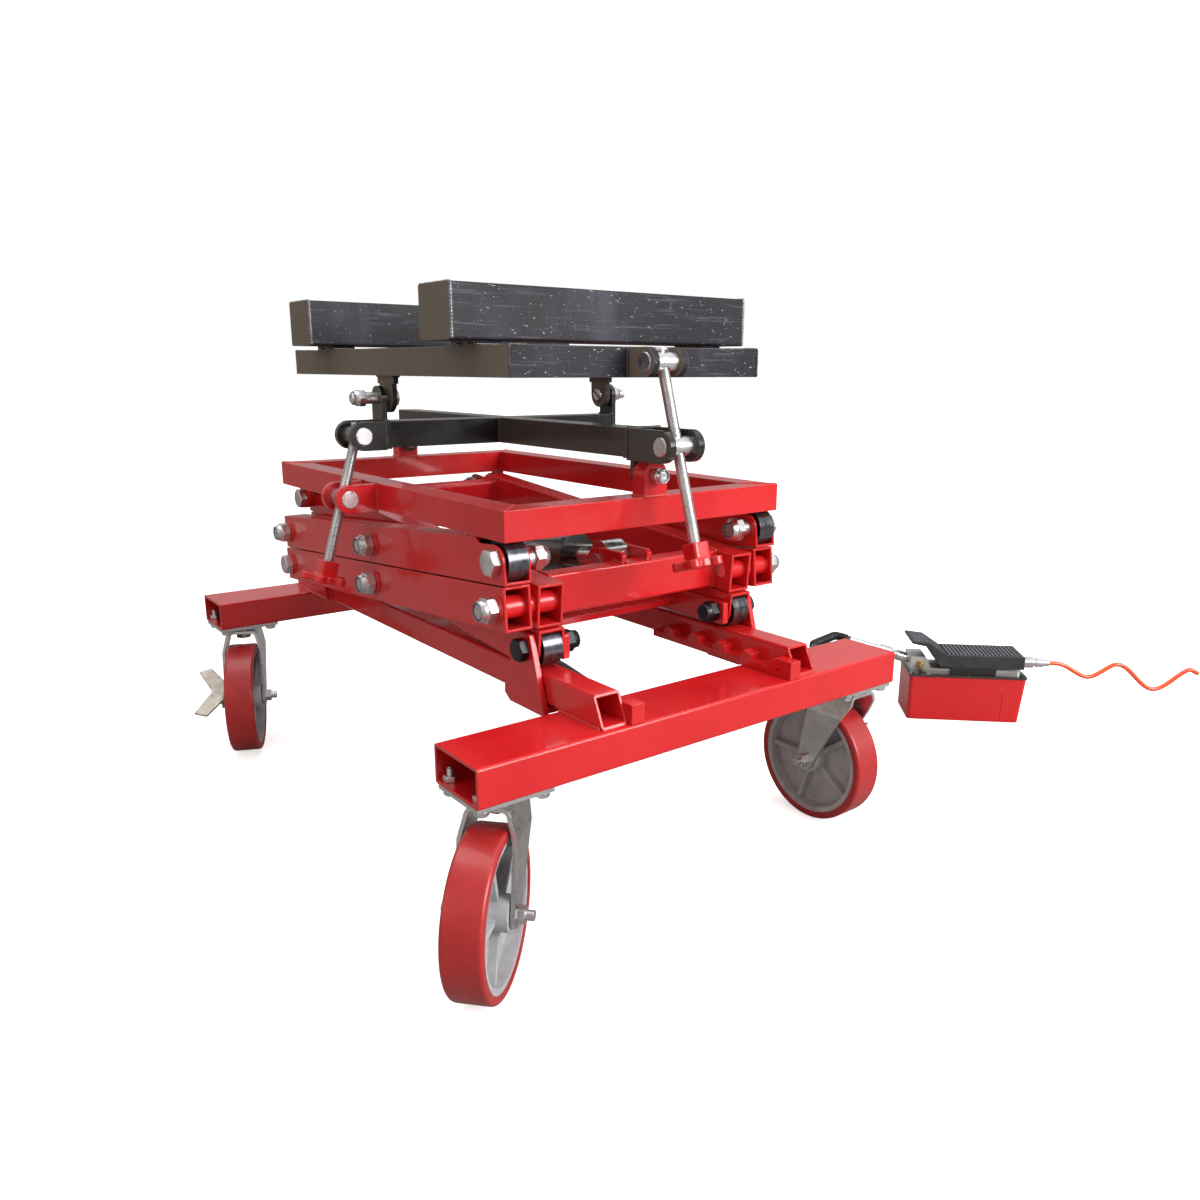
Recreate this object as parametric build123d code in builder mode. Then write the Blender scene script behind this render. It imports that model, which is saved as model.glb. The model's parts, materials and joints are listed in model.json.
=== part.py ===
"""Rolling scissor lift table with a tilting load bed and a foot-operated hydraulic pump.

Millimetres. The origin is on the floor under the middle of the base. X runs across the table,
along the two base beams. Y runs along the rails, -Y being the front, where the rollers run. Z is up.
The table is drawn fully lowered, with the load bed level.
"""
import math
import os

from build123d import *

# --- base -----------------------------------------------------------------------------------
BEAM_HALF_LENGTH = 371
BEAM_WIDTH = 100
BEAM_HEIGHT = 50
BEAM_BOTTOM = 240
BEAM_TOP = BEAM_BOTTOM + BEAM_HEIGHT
BEAM_Y = 470.5
BEAM_WALL = 4
RAIL_SIZE = 40
RAIL_X = 173
RAIL_TOP = BEAM_TOP + RAIL_SIZE
RAIL_FRONT = -512
RAIL_REAR = 505
RAIL_BEVEL = 19
BRACKET_THICKNESS = 9
TUBE_WALL = 3.5
EDGE_RADIUS = 4

# --- scissor linkage ------------------------------------------------------------------------
LEG_PITCH = 740
LEG_DEPTH = 58
LEG_WIDTH = 40
LEG_OVERHANG = 22
INNER_LEG_X = 173
OUTER_LEG_X = 223
ROLLER_RADIUS = 27.5
ROLLER_WIDTH = 30
LEG_RISE = 60.5
LEG_ANGLE = math.asin(LEG_RISE / LEG_PITCH)
REAR_Y = 385
FRONT_Y = REAR_Y - LEG_PITCH * math.cos(LEG_ANGLE)
LOW_Z = RAIL_TOP + ROLLER_RADIUS
MID_Z = LOW_Z + LEG_RISE
HIGH_Z = MID_Z + LEG_RISE
PIVOT_RADIUS = 10
RUNNING_GAP = 0.05
BORE_RADIUS = PIVOT_RADIUS + RUNNING_GAP
SLEEVE_RADIUS = 15
BOSS_RADIUS = 17
BOSS_HEIGHT = 4
INNER_BOSS_HEIGHT = 9.6

# --- top frame, tilting cross and bed -------------------------------------------------------
FRAME_BAR = 40
FRAME_HALF_X = 243
FRAME_FRONT = -378
FRAME_REAR = 402
FRAME_BOTTOM = HIGH_Z + ROLLER_RADIUS
FRAME_TOP = FRAME_BOTTOM + FRAME_BAR
TILT_Y = 16
ROLL_Z = 574
CROSS_BAR = 40
CROSS_BOTTOM = 597
CROSS_TOP = CROSS_BOTTOM + CROSS_BAR
CROSS_HALF_X = 215
CROSS_FRONT = -343
CROSS_REAR = 367
PITCH_Z = 671
TABLE_HALF_X = 216
TABLE_FRONT = -352
TABLE_REAR = 363
TABLE_BOTTOM = 704
TABLE_TOP = TABLE_BOTTOM + FRAME_BAR
LOAD_TUBE_HALF_LENGTH = 256
LOAD_TUBE_WIDTH = 80
LOAD_TUBE_HEIGHT = 70
LOAD_TUBE_GAP = 6
LOAD_TUBE_Y = (-241.5, 225.5)
PLATE = 8

# --- tilt screws: pivot points in the plane that each screw swings in ---------------------------
PIN_RADIUS = 13
CHEEK_RADIUS = 21.5
CHEEK_THICKNESS = 10
CHEEK_GAP = 40
ROLL_SCREW_TOP = (-259, 616)
ROLL_SCREW_NUT = (-286.6, 524)
ROLL_SCREW_HUB = (-314.7, 430.2)
PITCH_SCREW_TOP = (-387, 724)
PITCH_SCREW_NUT = (-420.5, 616)
PITCH_SCREW_HUB = (-458, 492)
SCREW_RADIUS = 8
NUT_CLEARANCE = 0.1
ROLL_NUT_SLACK = 2.6
PITCH_NUT_SLACK = -3.6

# --- casters --------------------------------------------------------------------------------
WHEEL_RADIUS = 101.6
WHEEL_WIDTH = 50
TREAD_THICKNESS = 11
CASTER_TRAIL = 45
CASTER_X = 318
CASTER_Y = BEAM_Y
CASTER_BOLT_X = 41
CASTER_BOLT_Y = 35
CASTER_PLATE = 6
CASTERS = {
    "front_left": (-CASTER_X, -CASTER_Y, 222),
    "front_right": (CASTER_X, -CASTER_Y, 90),
    "rear_left": (-CASTER_X, CASTER_Y, 246),
    "rear_right": (CASTER_X, CASTER_Y, 60),
}
BRAKED = ("front_right", "rear_left")

# --- hydraulic ram --------------------------------------------------------------------------
RAM_BASE = (375, LOW_Z)
RAM_HEAD_ALONG = 74
RAM_HEAD_ABOVE = 15.5
RAM_REST_LENGTH = 656.2
RAM_REST_ANGLE = 7.727
BARREL_RADIUS = 32
BARREL_BORE = 25
ROD_RADIUS = 18
RAM_EYE_RADIUS = 25
RAM_EYE_SLOT = (28.6, 36.4)
RAM_EYE_WIDTH = 36
RAM_PIN_RADIUS = 10
LUG_THICKNESS = 8
LUG_X = 23

# --- foot pump ------------------------------------------------------------------------------
PUMP_CENTRE = (931, -292)
PUMP_TURN = -44
PUMP_LENGTH = 226
PUMP_DEPTH = 112
PUMP_SPLAY = 10
RESERVOIR_HEIGHT = 94
COVER_THICKNESS = 4
PUMP_TOP = RESERVOIR_HEIGHT + COVER_THICKNESS
TREADLE_AXLE = (20, PUMP_TOP + 20)
TREADLE_PIN = 4
TREADLE_HALF = 45
TREADLE_RIB_PITCH = 8

# --- hoses ----------------------------------------------------------------------------------
HOSE_RADIUS = 6.5
HOSE_BEND = 40
HOSE_RISE = 17
GUARD_RADIUS = 9
FERRULE_END = 130
AIR_HOSE_RADIUS = 4.5
AIR_HOSE_DIRECTION = (0.79, -0.61)
AIR_HOSE_WAVE = ((0, 0), (30, -4), (90, -30), (143, -3), (232, -57), (305, -15), (318, -22))

# --- shared frame ---------------------------------------------------------------------------
# Everything above is laid out about the middle of the table. The shared origin is on the floor at
# the middle of the whole set, pump and air hose included.
LAYOUT_CENTRE = (433.1, -5.5)

os.makedirs("parts", exist_ok=True)


def save(part, name):
    """Move one finished piece to the shared frame, label it and write it as its own STEP file."""
    placed = part.moved(Location((-LAYOUT_CENTRE[0], -LAYOUT_CENTRE[1], 0)))
    placed.label = name
    export_step(placed, f"parts/{name}.step")


# Each leg has its own plane: local x runs from its first pivot to its second, local y is square
# to the leg, upwards, and the plane's normal is along X.
RISE_TO_FRONT = (0, -math.cos(LEG_ANGLE), math.sin(LEG_ANGLE))
RISE_TO_REAR = (0, math.cos(LEG_ANGLE), math.sin(LEG_ANGLE))
LOWER_OUTER_PLANE = Plane(origin=(0, REAR_Y, LOW_Z), x_dir=RISE_TO_FRONT, z_dir=(-1, 0, 0))
UPPER_OUTER_PLANE = Plane(origin=(0, REAR_Y, MID_Z), x_dir=RISE_TO_FRONT, z_dir=(-1, 0, 0))
LOWER_INNER_PLANE = Plane(origin=(0, FRONT_Y, LOW_Z), x_dir=RISE_TO_REAR, z_dir=(1, 0, 0))
UPPER_INNER_PLANE = Plane(origin=(0, FRONT_Y, MID_Z), x_dir=RISE_TO_REAR, z_dir=(1, 0, 0))
CENTRE_Y = (REAR_Y + FRONT_Y) / 2
LOW_CENTRE_Z = (LOW_Z + MID_Z) / 2
HIGH_CENTRE_Z = (MID_Z + HIGH_Z) / 2


def along_x(x, y, z):
    """Plane at a point, facing +X, with its local y upwards."""
    return Plane(origin=(x, y, z), x_dir=(0, 1, 0), z_dir=(1, 0, 0))


def along_y(x, y, z):
    """Plane at a point, facing -Y, with its local y upwards."""
    return Plane(origin=(x, y, z), x_dir=(1, 0, 0), z_dir=(0, -1, 0))


def disc(plane, radius, height, both=False, mode=Mode.ADD):
    """Round bar or hole standing on a plane."""
    with BuildSketch(plane) as outline:
        Circle(radius)
    extrude(outline.sketch, amount=height, both=both, mode=mode)


def block(x0, x1, y0, y1, z0, z1, mode=Mode.ADD):
    """Rectangular block between two corners."""
    with BuildSketch(Plane((0, 0, z0))) as outline:
        with Locations(((x0 + x1) / 2, (y0 + y1) / 2)):
            Rectangle(x1 - x0, y1 - y0)
    extrude(outline.sketch, amount=z1 - z0, mode=mode)


def tube_x(x0, x1, y, z, depth, height, wall):
    """Open square tube along X, with rounded corners."""
    with BuildSketch(along_x(x0, y, z)) as outline:
        RectangleRounded(depth, height, EDGE_RADIUS)
        RectangleRounded(depth - 2 * wall, height - 2 * wall, 1, mode=Mode.SUBTRACT)
    extrude(outline.sketch, amount=x1 - x0)


def tube_y(y0, y1, x, z, width, height, wall):
    """Open square tube along Y, with rounded corners."""
    with BuildSketch(along_y(x, y1, z)) as outline:
        RectangleRounded(width, height, EDGE_RADIUS)
        RectangleRounded(width - 2 * wall, height - 2 * wall, 1, mode=Mode.SUBTRACT)
    extrude(outline.sketch, amount=y1 - y0)


# --- base frame -----------------------------------------------------------------------------
def base_bracket(side):
    """Plate beside the rail that carries the fixed rear pivot of one lower leg."""
    with BuildSketch(along_x(side * (RAIL_X + RAIL_SIZE / 2), REAR_Y, LOW_Z)) as outline:
        with BuildLine():
            Polyline((-28, 10), (-52, BEAM_TOP - LOW_Z + 4), (36, BEAM_TOP - LOW_Z + 4), (28, 10))
            ThreePointArc((28, 10), (0, 28), (-28, 10))
        make_face()
        Circle(BORE_RADIUS, mode=Mode.SUBTRACT)
    extrude(outline.sketch, amount=side * BRACKET_THICKNESS)


def base_frame():
    with BuildPart() as base:
        for y in (-BEAM_Y, BEAM_Y):
            tube_x(-BEAM_HALF_LENGTH, BEAM_HALF_LENGTH, y, BEAM_BOTTOM + BEAM_HEIGHT / 2,
                   BEAM_WIDTH, BEAM_HEIGHT, BEAM_WALL)
        for side in (-1, 1):
            tube_y(RAIL_FRONT, RAIL_REAR, side * RAIL_X, BEAM_TOP + RAIL_SIZE / 2,
                   RAIL_SIZE, RAIL_SIZE, TUBE_WALL)
            base_bracket(side)
        with BuildSketch(along_x(0, RAIL_FRONT, BEAM_TOP)):
            with BuildLine():
                Polyline((-5, 0), (0, 0), (RAIL_BEVEL, RAIL_SIZE), (-5, RAIL_SIZE), close=True)
            make_face()
        extrude(amount=RAIL_X + RAIL_SIZE, both=True, mode=Mode.SUBTRACT)
        tube_x(-RAIL_X + RAIL_SIZE / 2, RAIL_X - RAIL_SIZE / 2, 430, BEAM_TOP + 20, 40, 40, TUBE_WALL)
        for side in (-1, 1):
            ram_base_lug(side)
        caster_bolt_holes()
    save(base.part, "base_frame")


def ram_base_lug(side):
    """Upright lug on the base cross tube for the ram's bottom pin."""
    base_y, base_z = RAM_BASE
    with BuildSketch(along_x(side * LUG_X - LUG_THICKNESS / 2, base_y, base_z)) as outline:
        with BuildLine():
            Polyline((0, -24), (35, RAIL_TOP - base_z - 30), (70, RAIL_TOP - base_z), (12, 21))
            ThreePointArc((12, 21), (-24, 0), (0, -24))
        make_face()
        Circle(RAM_PIN_RADIUS + RUNNING_GAP, mode=Mode.SUBTRACT)
    extrude(outline.sketch, amount=LUG_THICKNESS)


def caster_bolt_points():
    """Four bolts per caster, near the corners of its plate."""
    spread = [(dx, dy) for dx in (-CASTER_BOLT_X, CASTER_BOLT_X) for dy in (-CASTER_BOLT_Y, CASTER_BOLT_Y)]
    return [(x + dx, y + dy) for x, y, _ in CASTERS.values() for dx, dy in spread]


def caster_bolt_holes():
    for x, y in caster_bolt_points():
        disc(Plane((x, y, BEAM_BOTTOM - 1)), 5.05, BEAM_WALL + 2, mode=Mode.SUBTRACT)


def lock_racks():
    """Stepped rack on the inner face of each rail, with a taller stop block at the front."""
    tooth_width = 24
    tooth_pitch = 57
    rack_width = 20
    rack_outer = RAIL_X - RAIL_SIZE / 2
    rack_inner = rack_outer - rack_width
    with BuildPart() as racks:
        for side in (-1, 1):
            x0, x1 = sorted((side * rack_inner, side * rack_outer))
            block(x0, x1, -495, -221, BEAM_TOP + 0.1, 300)
            for index in range(5):
                y = -259 - index * tooth_pitch
                with BuildSketch(along_x(x0, y, 298)):
                    with BuildLine():
                        Polyline((-tooth_width / 2, 0), (-tooth_width / 2, 12), (4, 16),
                                 (tooth_width / 2, 8), (tooth_width / 2, 0), close=True)
                    make_face()
                extrude(amount=x1 - x0)
            block(x0, x1, -519, -487, BEAM_TOP + 0.1, 316)
    save(racks.part, "lock_racks")


# --- scissor legs ---------------------------------------------------------------------------
def leg_profile(roller_side=0, roller_at=0):
    """Side view of one leg. The roller end is stepped down and rounded on the side it rolls on."""
    half = LEG_DEPTH / 2
    with BuildLine() as edge:
        if roller_side == 0:
            Polyline((-LEG_OVERHANG, -half), (LEG_PITCH + LEG_OVERHANG, -half),
                     (LEG_PITCH + LEG_OVERHANG, half), (-LEG_OVERHANG, half), close=True)
        else:
            out = 1 if roller_at > 0 else -1
            near = roller_at
            far = LEG_PITCH - roller_at
            tip = near + out * LEG_OVERHANG
            step = LEG_OVERHANG * roller_side
            Polyline((tip, 0), (tip, -half * roller_side), (far - out * LEG_OVERHANG, -half * roller_side),
                     (far - out * LEG_OVERHANG, half * roller_side), (near - out * 44, half * roller_side),
                     (near - out * 36, step), (near, step))
            RadiusArc((near, step), (tip, 0), LEG_OVERHANG * out * roller_side)
    make_face(edge.edges())


def leg_pair(plane, x, roller_side=0, roller_at=0):
    """Left and right tubes of one pair of legs, open at both ends."""
    for side in (-1, 1):
        with BuildSketch(plane.offset(side * x)) as outline:
            leg_profile(roller_side, roller_at)
        extrude(outline.sketch, amount=LEG_WIDTH / 2, both=True)
        with BuildSketch(plane.offset(side * x)) as outline:
            with Locations((LEG_PITCH / 2, 0)):
                Rectangle(LEG_PITCH + 3 * LEG_OVERHANG, LEG_DEPTH - 2 * TUBE_WALL)
        extrude(outline.sketch, amount=LEG_WIDTH / 2 - TUBE_WALL, both=True, mode=Mode.SUBTRACT)


def leg_sleeves(plane, x, places, outward, inward):
    """Bored sleeves through both legs. The bosses stand proud on the outer and inner faces."""
    for side in (-1, 1):
        face = side if plane.z_dir.X > 0 else -side
        for place in places:
            centre = plane.offset(face * x)
            spot = Plane(origin=centre.from_local_coords((place, 0, 0)), x_dir=plane.x_dir, z_dir=plane.z_dir)
            disc(spot, SLEEVE_RADIUS, LEG_WIDTH / 2, both=True)
            disc(spot, BOSS_RADIUS, face * (LEG_WIDTH / 2 + outward))
            disc(spot, BOSS_RADIUS, -face * (LEG_WIDTH / 2 + inward))
            disc(spot, SLEEVE_RADIUS + 2, LEG_WIDTH / 2 - TUBE_WALL, both=True, mode=Mode.SUBTRACT)
            disc(spot, SLEEVE_RADIUS, LEG_WIDTH / 2, both=True)
            disc(spot, BORE_RADIUS, LEG_WIDTH, both=True, mode=Mode.SUBTRACT)


def roller_bores(plane, x, place):
    """Plain bores through the side walls for a roller axle, and room inside for the roller."""
    for side in (-1, 1):
        spot = Plane(origin=plane.offset(side * x).from_local_coords((place, 0, 0)),
                     x_dir=plane.x_dir, z_dir=plane.z_dir)
        disc(spot, BORE_RADIUS, LEG_WIDTH, both=True, mode=Mode.SUBTRACT)
        disc(spot, ROLLER_RADIUS + 0.6, LEG_WIDTH / 2 - TUBE_WALL, both=True, mode=Mode.SUBTRACT)


def cross_member(plane, along, across, depth, height):
    """Tube between the two inner legs, square to them."""
    reach = INNER_LEG_X - LEG_WIDTH / 2 + 0.5
    spot = Plane(origin=plane.from_local_coords((along, across, -reach)), x_dir=plane.x_dir, z_dir=plane.z_dir)
    with BuildSketch(spot) as outline:
        RectangleRounded(depth, height, EDGE_RADIUS)
        RectangleRounded(depth - 2 * TUBE_WALL, height - 2 * TUBE_WALL, 1, mode=Mode.SUBTRACT)
    extrude(outline.sketch, amount=2 * reach)


def lower_outer_legs():
    with BuildPart() as legs:
        leg_pair(LOWER_OUTER_PLANE, OUTER_LEG_X)
        leg_sleeves(LOWER_OUTER_PLANE, OUTER_LEG_X, (0, LEG_PITCH / 2, LEG_PITCH), BOSS_HEIGHT, 0)
    save(legs.part, "lower_outer_legs")


def upper_outer_legs():
    with BuildPart() as legs:
        leg_pair(UPPER_OUTER_PLANE, OUTER_LEG_X, roller_side=1, roller_at=LEG_PITCH)
        leg_sleeves(UPPER_OUTER_PLANE, OUTER_LEG_X, (0, LEG_PITCH / 2), BOSS_HEIGHT, 0)
        roller_bores(UPPER_OUTER_PLANE, OUTER_LEG_X, LEG_PITCH)
    save(legs.part, "upper_outer_legs")


def lower_inner_legs():
    with BuildPart() as legs:
        leg_pair(LOWER_INNER_PLANE, INNER_LEG_X, roller_side=-1, roller_at=0)
        leg_sleeves(LOWER_INNER_PLANE, INNER_LEG_X, (LEG_PITCH / 2, LEG_PITCH), INNER_BOSS_HEIGHT, 0)
        roller_bores(LOWER_INNER_PLANE, INNER_LEG_X, 0)
        cross_member(LOWER_INNER_PLANE, 182, -8, 40, 38)
        cross_member(LOWER_INNER_PLANE, 690, 13, 40, 30)
    save(legs.part, "lower_inner_legs")


def ram_head():
    """Centre of the ram's head pin, between lugs on the upper inner legs."""
    return UPPER_INNER_PLANE.from_local_coords((RAM_HEAD_ALONG, RAM_HEAD_ABOVE, 0))


def upper_inner_legs():
    _, head_y, head_z = ram_head()
    with BuildPart() as legs:
        leg_pair(UPPER_INNER_PLANE, INNER_LEG_X, roller_side=1, roller_at=LEG_PITCH)
        leg_sleeves(UPPER_INNER_PLANE, INNER_LEG_X, (0, LEG_PITCH / 2, LEG_PITCH), INNER_BOSS_HEIGHT, 0)
        cross_member(UPPER_INNER_PLANE, 26.5, 0, 25, LEG_DEPTH)
        cross_member(UPPER_INNER_PLANE, 680, 0, 40, 40)
        for side in (-1, 1):
            with BuildSketch(along_x(side * LUG_X - LUG_THICKNESS / 2, head_y, head_z)):
                with BuildLine():
                    Polyline((0, -24), (-38, -20), (-38, 9.4), (-57, 7.9), (-59, 19), (-54, 24), (0, 24))
                    ThreePointArc((0, 24), (24, 0), (0, -24))
                make_face()
                Circle(RAM_PIN_RADIUS + RUNNING_GAP, mode=Mode.SUBTRACT)
            extrude(amount=LUG_THICKNESS)
    save(legs.part, "upper_inner_legs")


# --- rollers --------------------------------------------------------------------------------
def leg_roller(name, x, z):
    """Steel roller with a shallow recess in each side."""
    with BuildPart() as roller:
        disc(along_x(x - ROLLER_WIDTH / 2, FRONT_Y, z), ROLLER_RADIUS - 0.1, ROLLER_WIDTH)
        for side in (-1, 1):
            face = along_x(x + side * ROLLER_WIDTH / 2, FRONT_Y, z)
            with BuildSketch(face):
                Circle(ROLLER_RADIUS - 5)
                Circle(BOSS_RADIUS - 1, mode=Mode.SUBTRACT)
            extrude(amount=-side * 3, mode=Mode.SUBTRACT)
        disc(along_x(x, FRONT_Y, z), PIVOT_RADIUS + 0.1, ROLLER_WIDTH, both=True, mode=Mode.SUBTRACT)
    save(roller.part, name)


# --- pivot bolts and lock nuts --------------------------------------------------------------
HEAD_FLATS = 32
HEAD_HEIGHT = 12.5
NUT_HEIGHT = 23


def hexagon(flats):
    RegularPolygon(flats / 2, 6, major_radius=False)


def bolt(y, z, head_x, tip_x, radius=PIVOT_RADIUS, flats=HEAD_FLATS, head=HEAD_HEIGHT):
    """Hex bolt along X. Its head stands outside head_x and its thread ends at tip_x."""
    inward = 1 if tip_x > head_x else -1
    with BuildSketch(along_x(head_x, y, z)) as outline:
        hexagon(flats)
    extrude(outline.sketch, amount=-inward * head)
    disc(along_x(head_x - inward, y, z), radius, inward * (abs(tip_x - head_x) + 1))


def lock_nut(y, z, face_x, outward, radius=PIVOT_RADIUS, flats=HEAD_FLATS, height=NUT_HEIGHT):
    """Hex nut along X with a round locking collar on its outer end."""
    with BuildSketch(along_x(face_x, y, z)) as outline:
        hexagon(flats)
        Circle(radius + RUNNING_GAP, mode=Mode.SUBTRACT)
    extrude(outline.sketch, amount=outward * height * 0.8)
    with BuildSketch(along_x(face_x + outward * height * 0.8, y, z)) as outline:
        Circle(flats / 2 - 2)
        Circle(radius + RUNNING_GAP, mode=Mode.SUBTRACT)
    extrude(outline.sketch, amount=outward * height * 0.2)


OUTER_FACE = OUTER_LEG_X + LEG_WIDTH / 2 + BOSS_HEIGHT
INNER_FACE = INNER_LEG_X - LEG_WIDTH / 2
BRACKET_FACE = RAIL_X + RAIL_SIZE / 2


def base_pivot_bolts():
    with BuildPart() as bolts:
        for side in (-1, 1):
            bolt(REAR_Y, LOW_Z, side * OUTER_FACE, side * (BRACKET_FACE - NUT_HEIGHT + 1))
            lock_nut(REAR_Y, LOW_Z, side * BRACKET_FACE, -side)
    save(bolts.part, "base_pivot_bolts")


def lower_leg_bolts():
    """Centre bolts, and the headless studs of the front middle pivots."""
    with BuildPart() as bolts:
        for side in (-1, 1):
            tip = side * (OUTER_FACE + NUT_HEIGHT - 1)
            bolt(CENTRE_Y, LOW_CENTRE_Z, side * (INNER_FACE - 0.1), tip)
            lock_nut(CENTRE_Y, LOW_CENTRE_Z, side * OUTER_FACE, side)
            stud_start = INNER_FACE + 0.5
            disc(along_x(side * stud_start, FRONT_Y, MID_Z), PIVOT_RADIUS, tip - side * stud_start)
            lock_nut(FRONT_Y, MID_Z, side * OUTER_FACE, side)
    save(bolts.part, "lower_leg_bolts")


def upper_leg_bolts():
    roller_face = OUTER_LEG_X + LEG_WIDTH / 2
    with BuildPart() as bolts:
        for side in (-1, 1):
            for y, z in ((CENTRE_Y, HIGH_CENTRE_Z), (REAR_Y, MID_Z)):
                bolt(y, z, side * (INNER_FACE - 0.1), side * (OUTER_FACE + NUT_HEIGHT - 1))
                lock_nut(y, z, side * OUTER_FACE, side)
            bolt(FRONT_Y, HIGH_Z, side * roller_face, side * (roller_face - LEG_WIDTH - 33))
            lock_nut(FRONT_Y, HIGH_Z, side * (roller_face - LEG_WIDTH - 14), -side)
            with BuildSketch(along_x(side * (roller_face - LEG_WIDTH), FRONT_Y, HIGH_Z)):
                Circle(13)
                Circle(BORE_RADIUS, mode=Mode.SUBTRACT)
            extrude(amount=-side * 14)
    save(bolts.part, "upper_leg_bolts")


def top_pivot_bolts():
    face = OUTER_LEG_X - LEG_WIDTH / 2 + 0.5 + PLATE
    with BuildPart() as bolts:
        for side in (-1, 1):
            bolt(REAR_Y, HIGH_Z, side * face, side * (INNER_FACE - NUT_HEIGHT + 1))
            lock_nut(REAR_Y, HIGH_Z, side * (INNER_FACE - 0.1), -side)
        for y, outward in ((FRAME_FRONT, 1), (FRAME_REAR, -1)):
            roll_pivot_bolt(y, outward)
    save(bolts.part, "top_pivot_bolts")


def roll_pivot_bolt(y, outward):
    """Bolt along Y through a frame ear and the cross's end plate, with its nut outside."""
    face = Plane(origin=(0, y, ROLL_Z), x_dir=(1, 0, 0), z_dir=(0, -outward, 0))
    disc(face.offset(-26 - PLATE - 2), 7, 26 + PLATE + 2 + 17)
    with BuildSketch(face.offset(-26 - PLATE - 1.2)) as outline:
        hexagon(21)
    extrude(outline.sketch, amount=-8)
    with BuildSketch(face) as outline:
        hexagon(21)
        Circle(7 + RUNNING_GAP, mode=Mode.SUBTRACT)
    extrude(outline.sketch, amount=18)


# --- roller carriage and height lock --------------------------------------------------------
KEEPER_INNER = RAIL_X + RAIL_SIZE / 2 + 1.5
LOCK_ARM_OUTER = INNER_FACE - 1
LOCK_ARM = 10


def carriage_keepers():
    """Outer plates on the roller axle that reach below the rails and hold the rollers down."""
    with BuildPart() as keepers:
        for side in (-1, 1):
            with BuildSketch(along_x(side * KEEPER_INNER, FRONT_Y, LOW_Z)):
                with BuildLine():
                    Polyline((-15, 22), (15, 22), (49, -62), (49, -72), (36, -81), (-47, -81), close=True)
                make_face()
                Circle(BORE_RADIUS, mode=Mode.SUBTRACT)
            extrude(amount=side * PLATE)
            x0, x1 = sorted((side * (RAIL_X - 14), side * (KEEPER_INNER + 1)))
            block(x0, x1, FRONT_Y - 40, FRONT_Y + 30, BEAM_TOP - 13, BEAM_TOP - 5)
    save(keepers.part, "carriage_keepers")


def lock_frame():
    """Swinging U-shaped frame on the roller axle: two arms joined by a flat cross plate."""
    with BuildPart() as frame:
        for side in (-1, 1):
            x = side * LOCK_ARM_OUTER
            with BuildSketch(along_x(x, FRONT_Y, LOW_Z)):
                with Locations((62, -2)):
                    RectangleRounded(164, 34, 3)
                Circle(PIVOT_RADIUS + 0.1, mode=Mode.SUBTRACT)
            extrude(amount=-side * LOCK_ARM)
        block(-LOCK_ARM_OUTER + 1, LOCK_ARM_OUTER - 1, FRONT_Y + 94, FRONT_Y + 140, LOW_Z - 9, LOW_Z + 1)
    save(frame.part, "lock_frame")


def carriage_bolts():
    outer = KEEPER_INNER + PLATE
    inner = LOCK_ARM_OUTER - LOCK_ARM
    with BuildPart() as bolts:
        for side in (-1, 1):
            bolt(FRONT_Y, LOW_Z, side * outer, side * (inner - NUT_HEIGHT), flats=28)
            lock_nut(FRONT_Y, LOW_Z, side * (inner - 0.5), -side, flats=28)
    save(bolts.part, "carriage_bolts")


# --- top frame ------------------------------------------------------------------------------
def ring_frame(half_x, front, rear, bottom, bar, wall):
    """Rectangular frame of hollow bar."""
    middle = (front + rear) / 2
    length = rear - front
    with BuildSketch(Plane((0, 0, bottom))) as outline:
        with Locations((0, middle)):
            Rectangle(2 * half_x, length)
            Rectangle(2 * (half_x - bar), length - 2 * bar, mode=Mode.SUBTRACT)
    extrude(outline.sketch, amount=bar)
    with BuildSketch(Plane((0, 0, bottom + wall))) as outline:
        with Locations((0, middle)):
            Rectangle(2 * (half_x - wall), length - 2 * wall)
            Rectangle(2 * (half_x - bar + wall), length - 2 * (bar - wall), mode=Mode.SUBTRACT)
    extrude(outline.sketch, amount=bar - 2 * wall, mode=Mode.SUBTRACT)


def ear(plane, width, above, below, thickness, bore):
    """Plate with one round end, bored at its centre. It reaches straight down by below."""
    with BuildSketch(plane) as outline:
        Circle(above)
        with Locations((0, -below / 2)):
            Rectangle(width, below)
        Circle(bore, mode=Mode.SUBTRACT)
    extrude(outline.sketch, amount=thickness)


def cheek_x(end_x, root_x, y, z, radius, bore):
    """Pair of clevis cheeks reaching along X to a cross-drilled pin on a Y axis."""
    for side in (-1, 1):
        with BuildSketch(along_y(end_x, y + side * (CHEEK_GAP / 2 + CHEEK_THICKNESS / 2), z)) as outline:
            Circle(radius)
            with Locations(((root_x - end_x) / 2, 0)):
                Rectangle(abs(root_x - end_x), 2 * radius)
            Circle(bore, mode=Mode.SUBTRACT)
        extrude(outline.sketch, amount=CHEEK_THICKNESS / 2, both=True)


def cheek_y(end_y, root_y, z, radius, bore):
    """Pair of clevis cheeks reaching along Y to a cross-drilled pin on an X axis."""
    for side in (-1, 1):
        with BuildSketch(along_x(side * (CHEEK_GAP / 2 + CHEEK_THICKNESS / 2), end_y, z)) as outline:
            Circle(radius)
            with Locations(((root_y - end_y) / 2, 0)):
                Rectangle(abs(root_y - end_y), 2 * radius)
            Circle(bore, mode=Mode.SUBTRACT)
        extrude(outline.sketch, amount=CHEEK_THICKNESS / 2, both=True)


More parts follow.
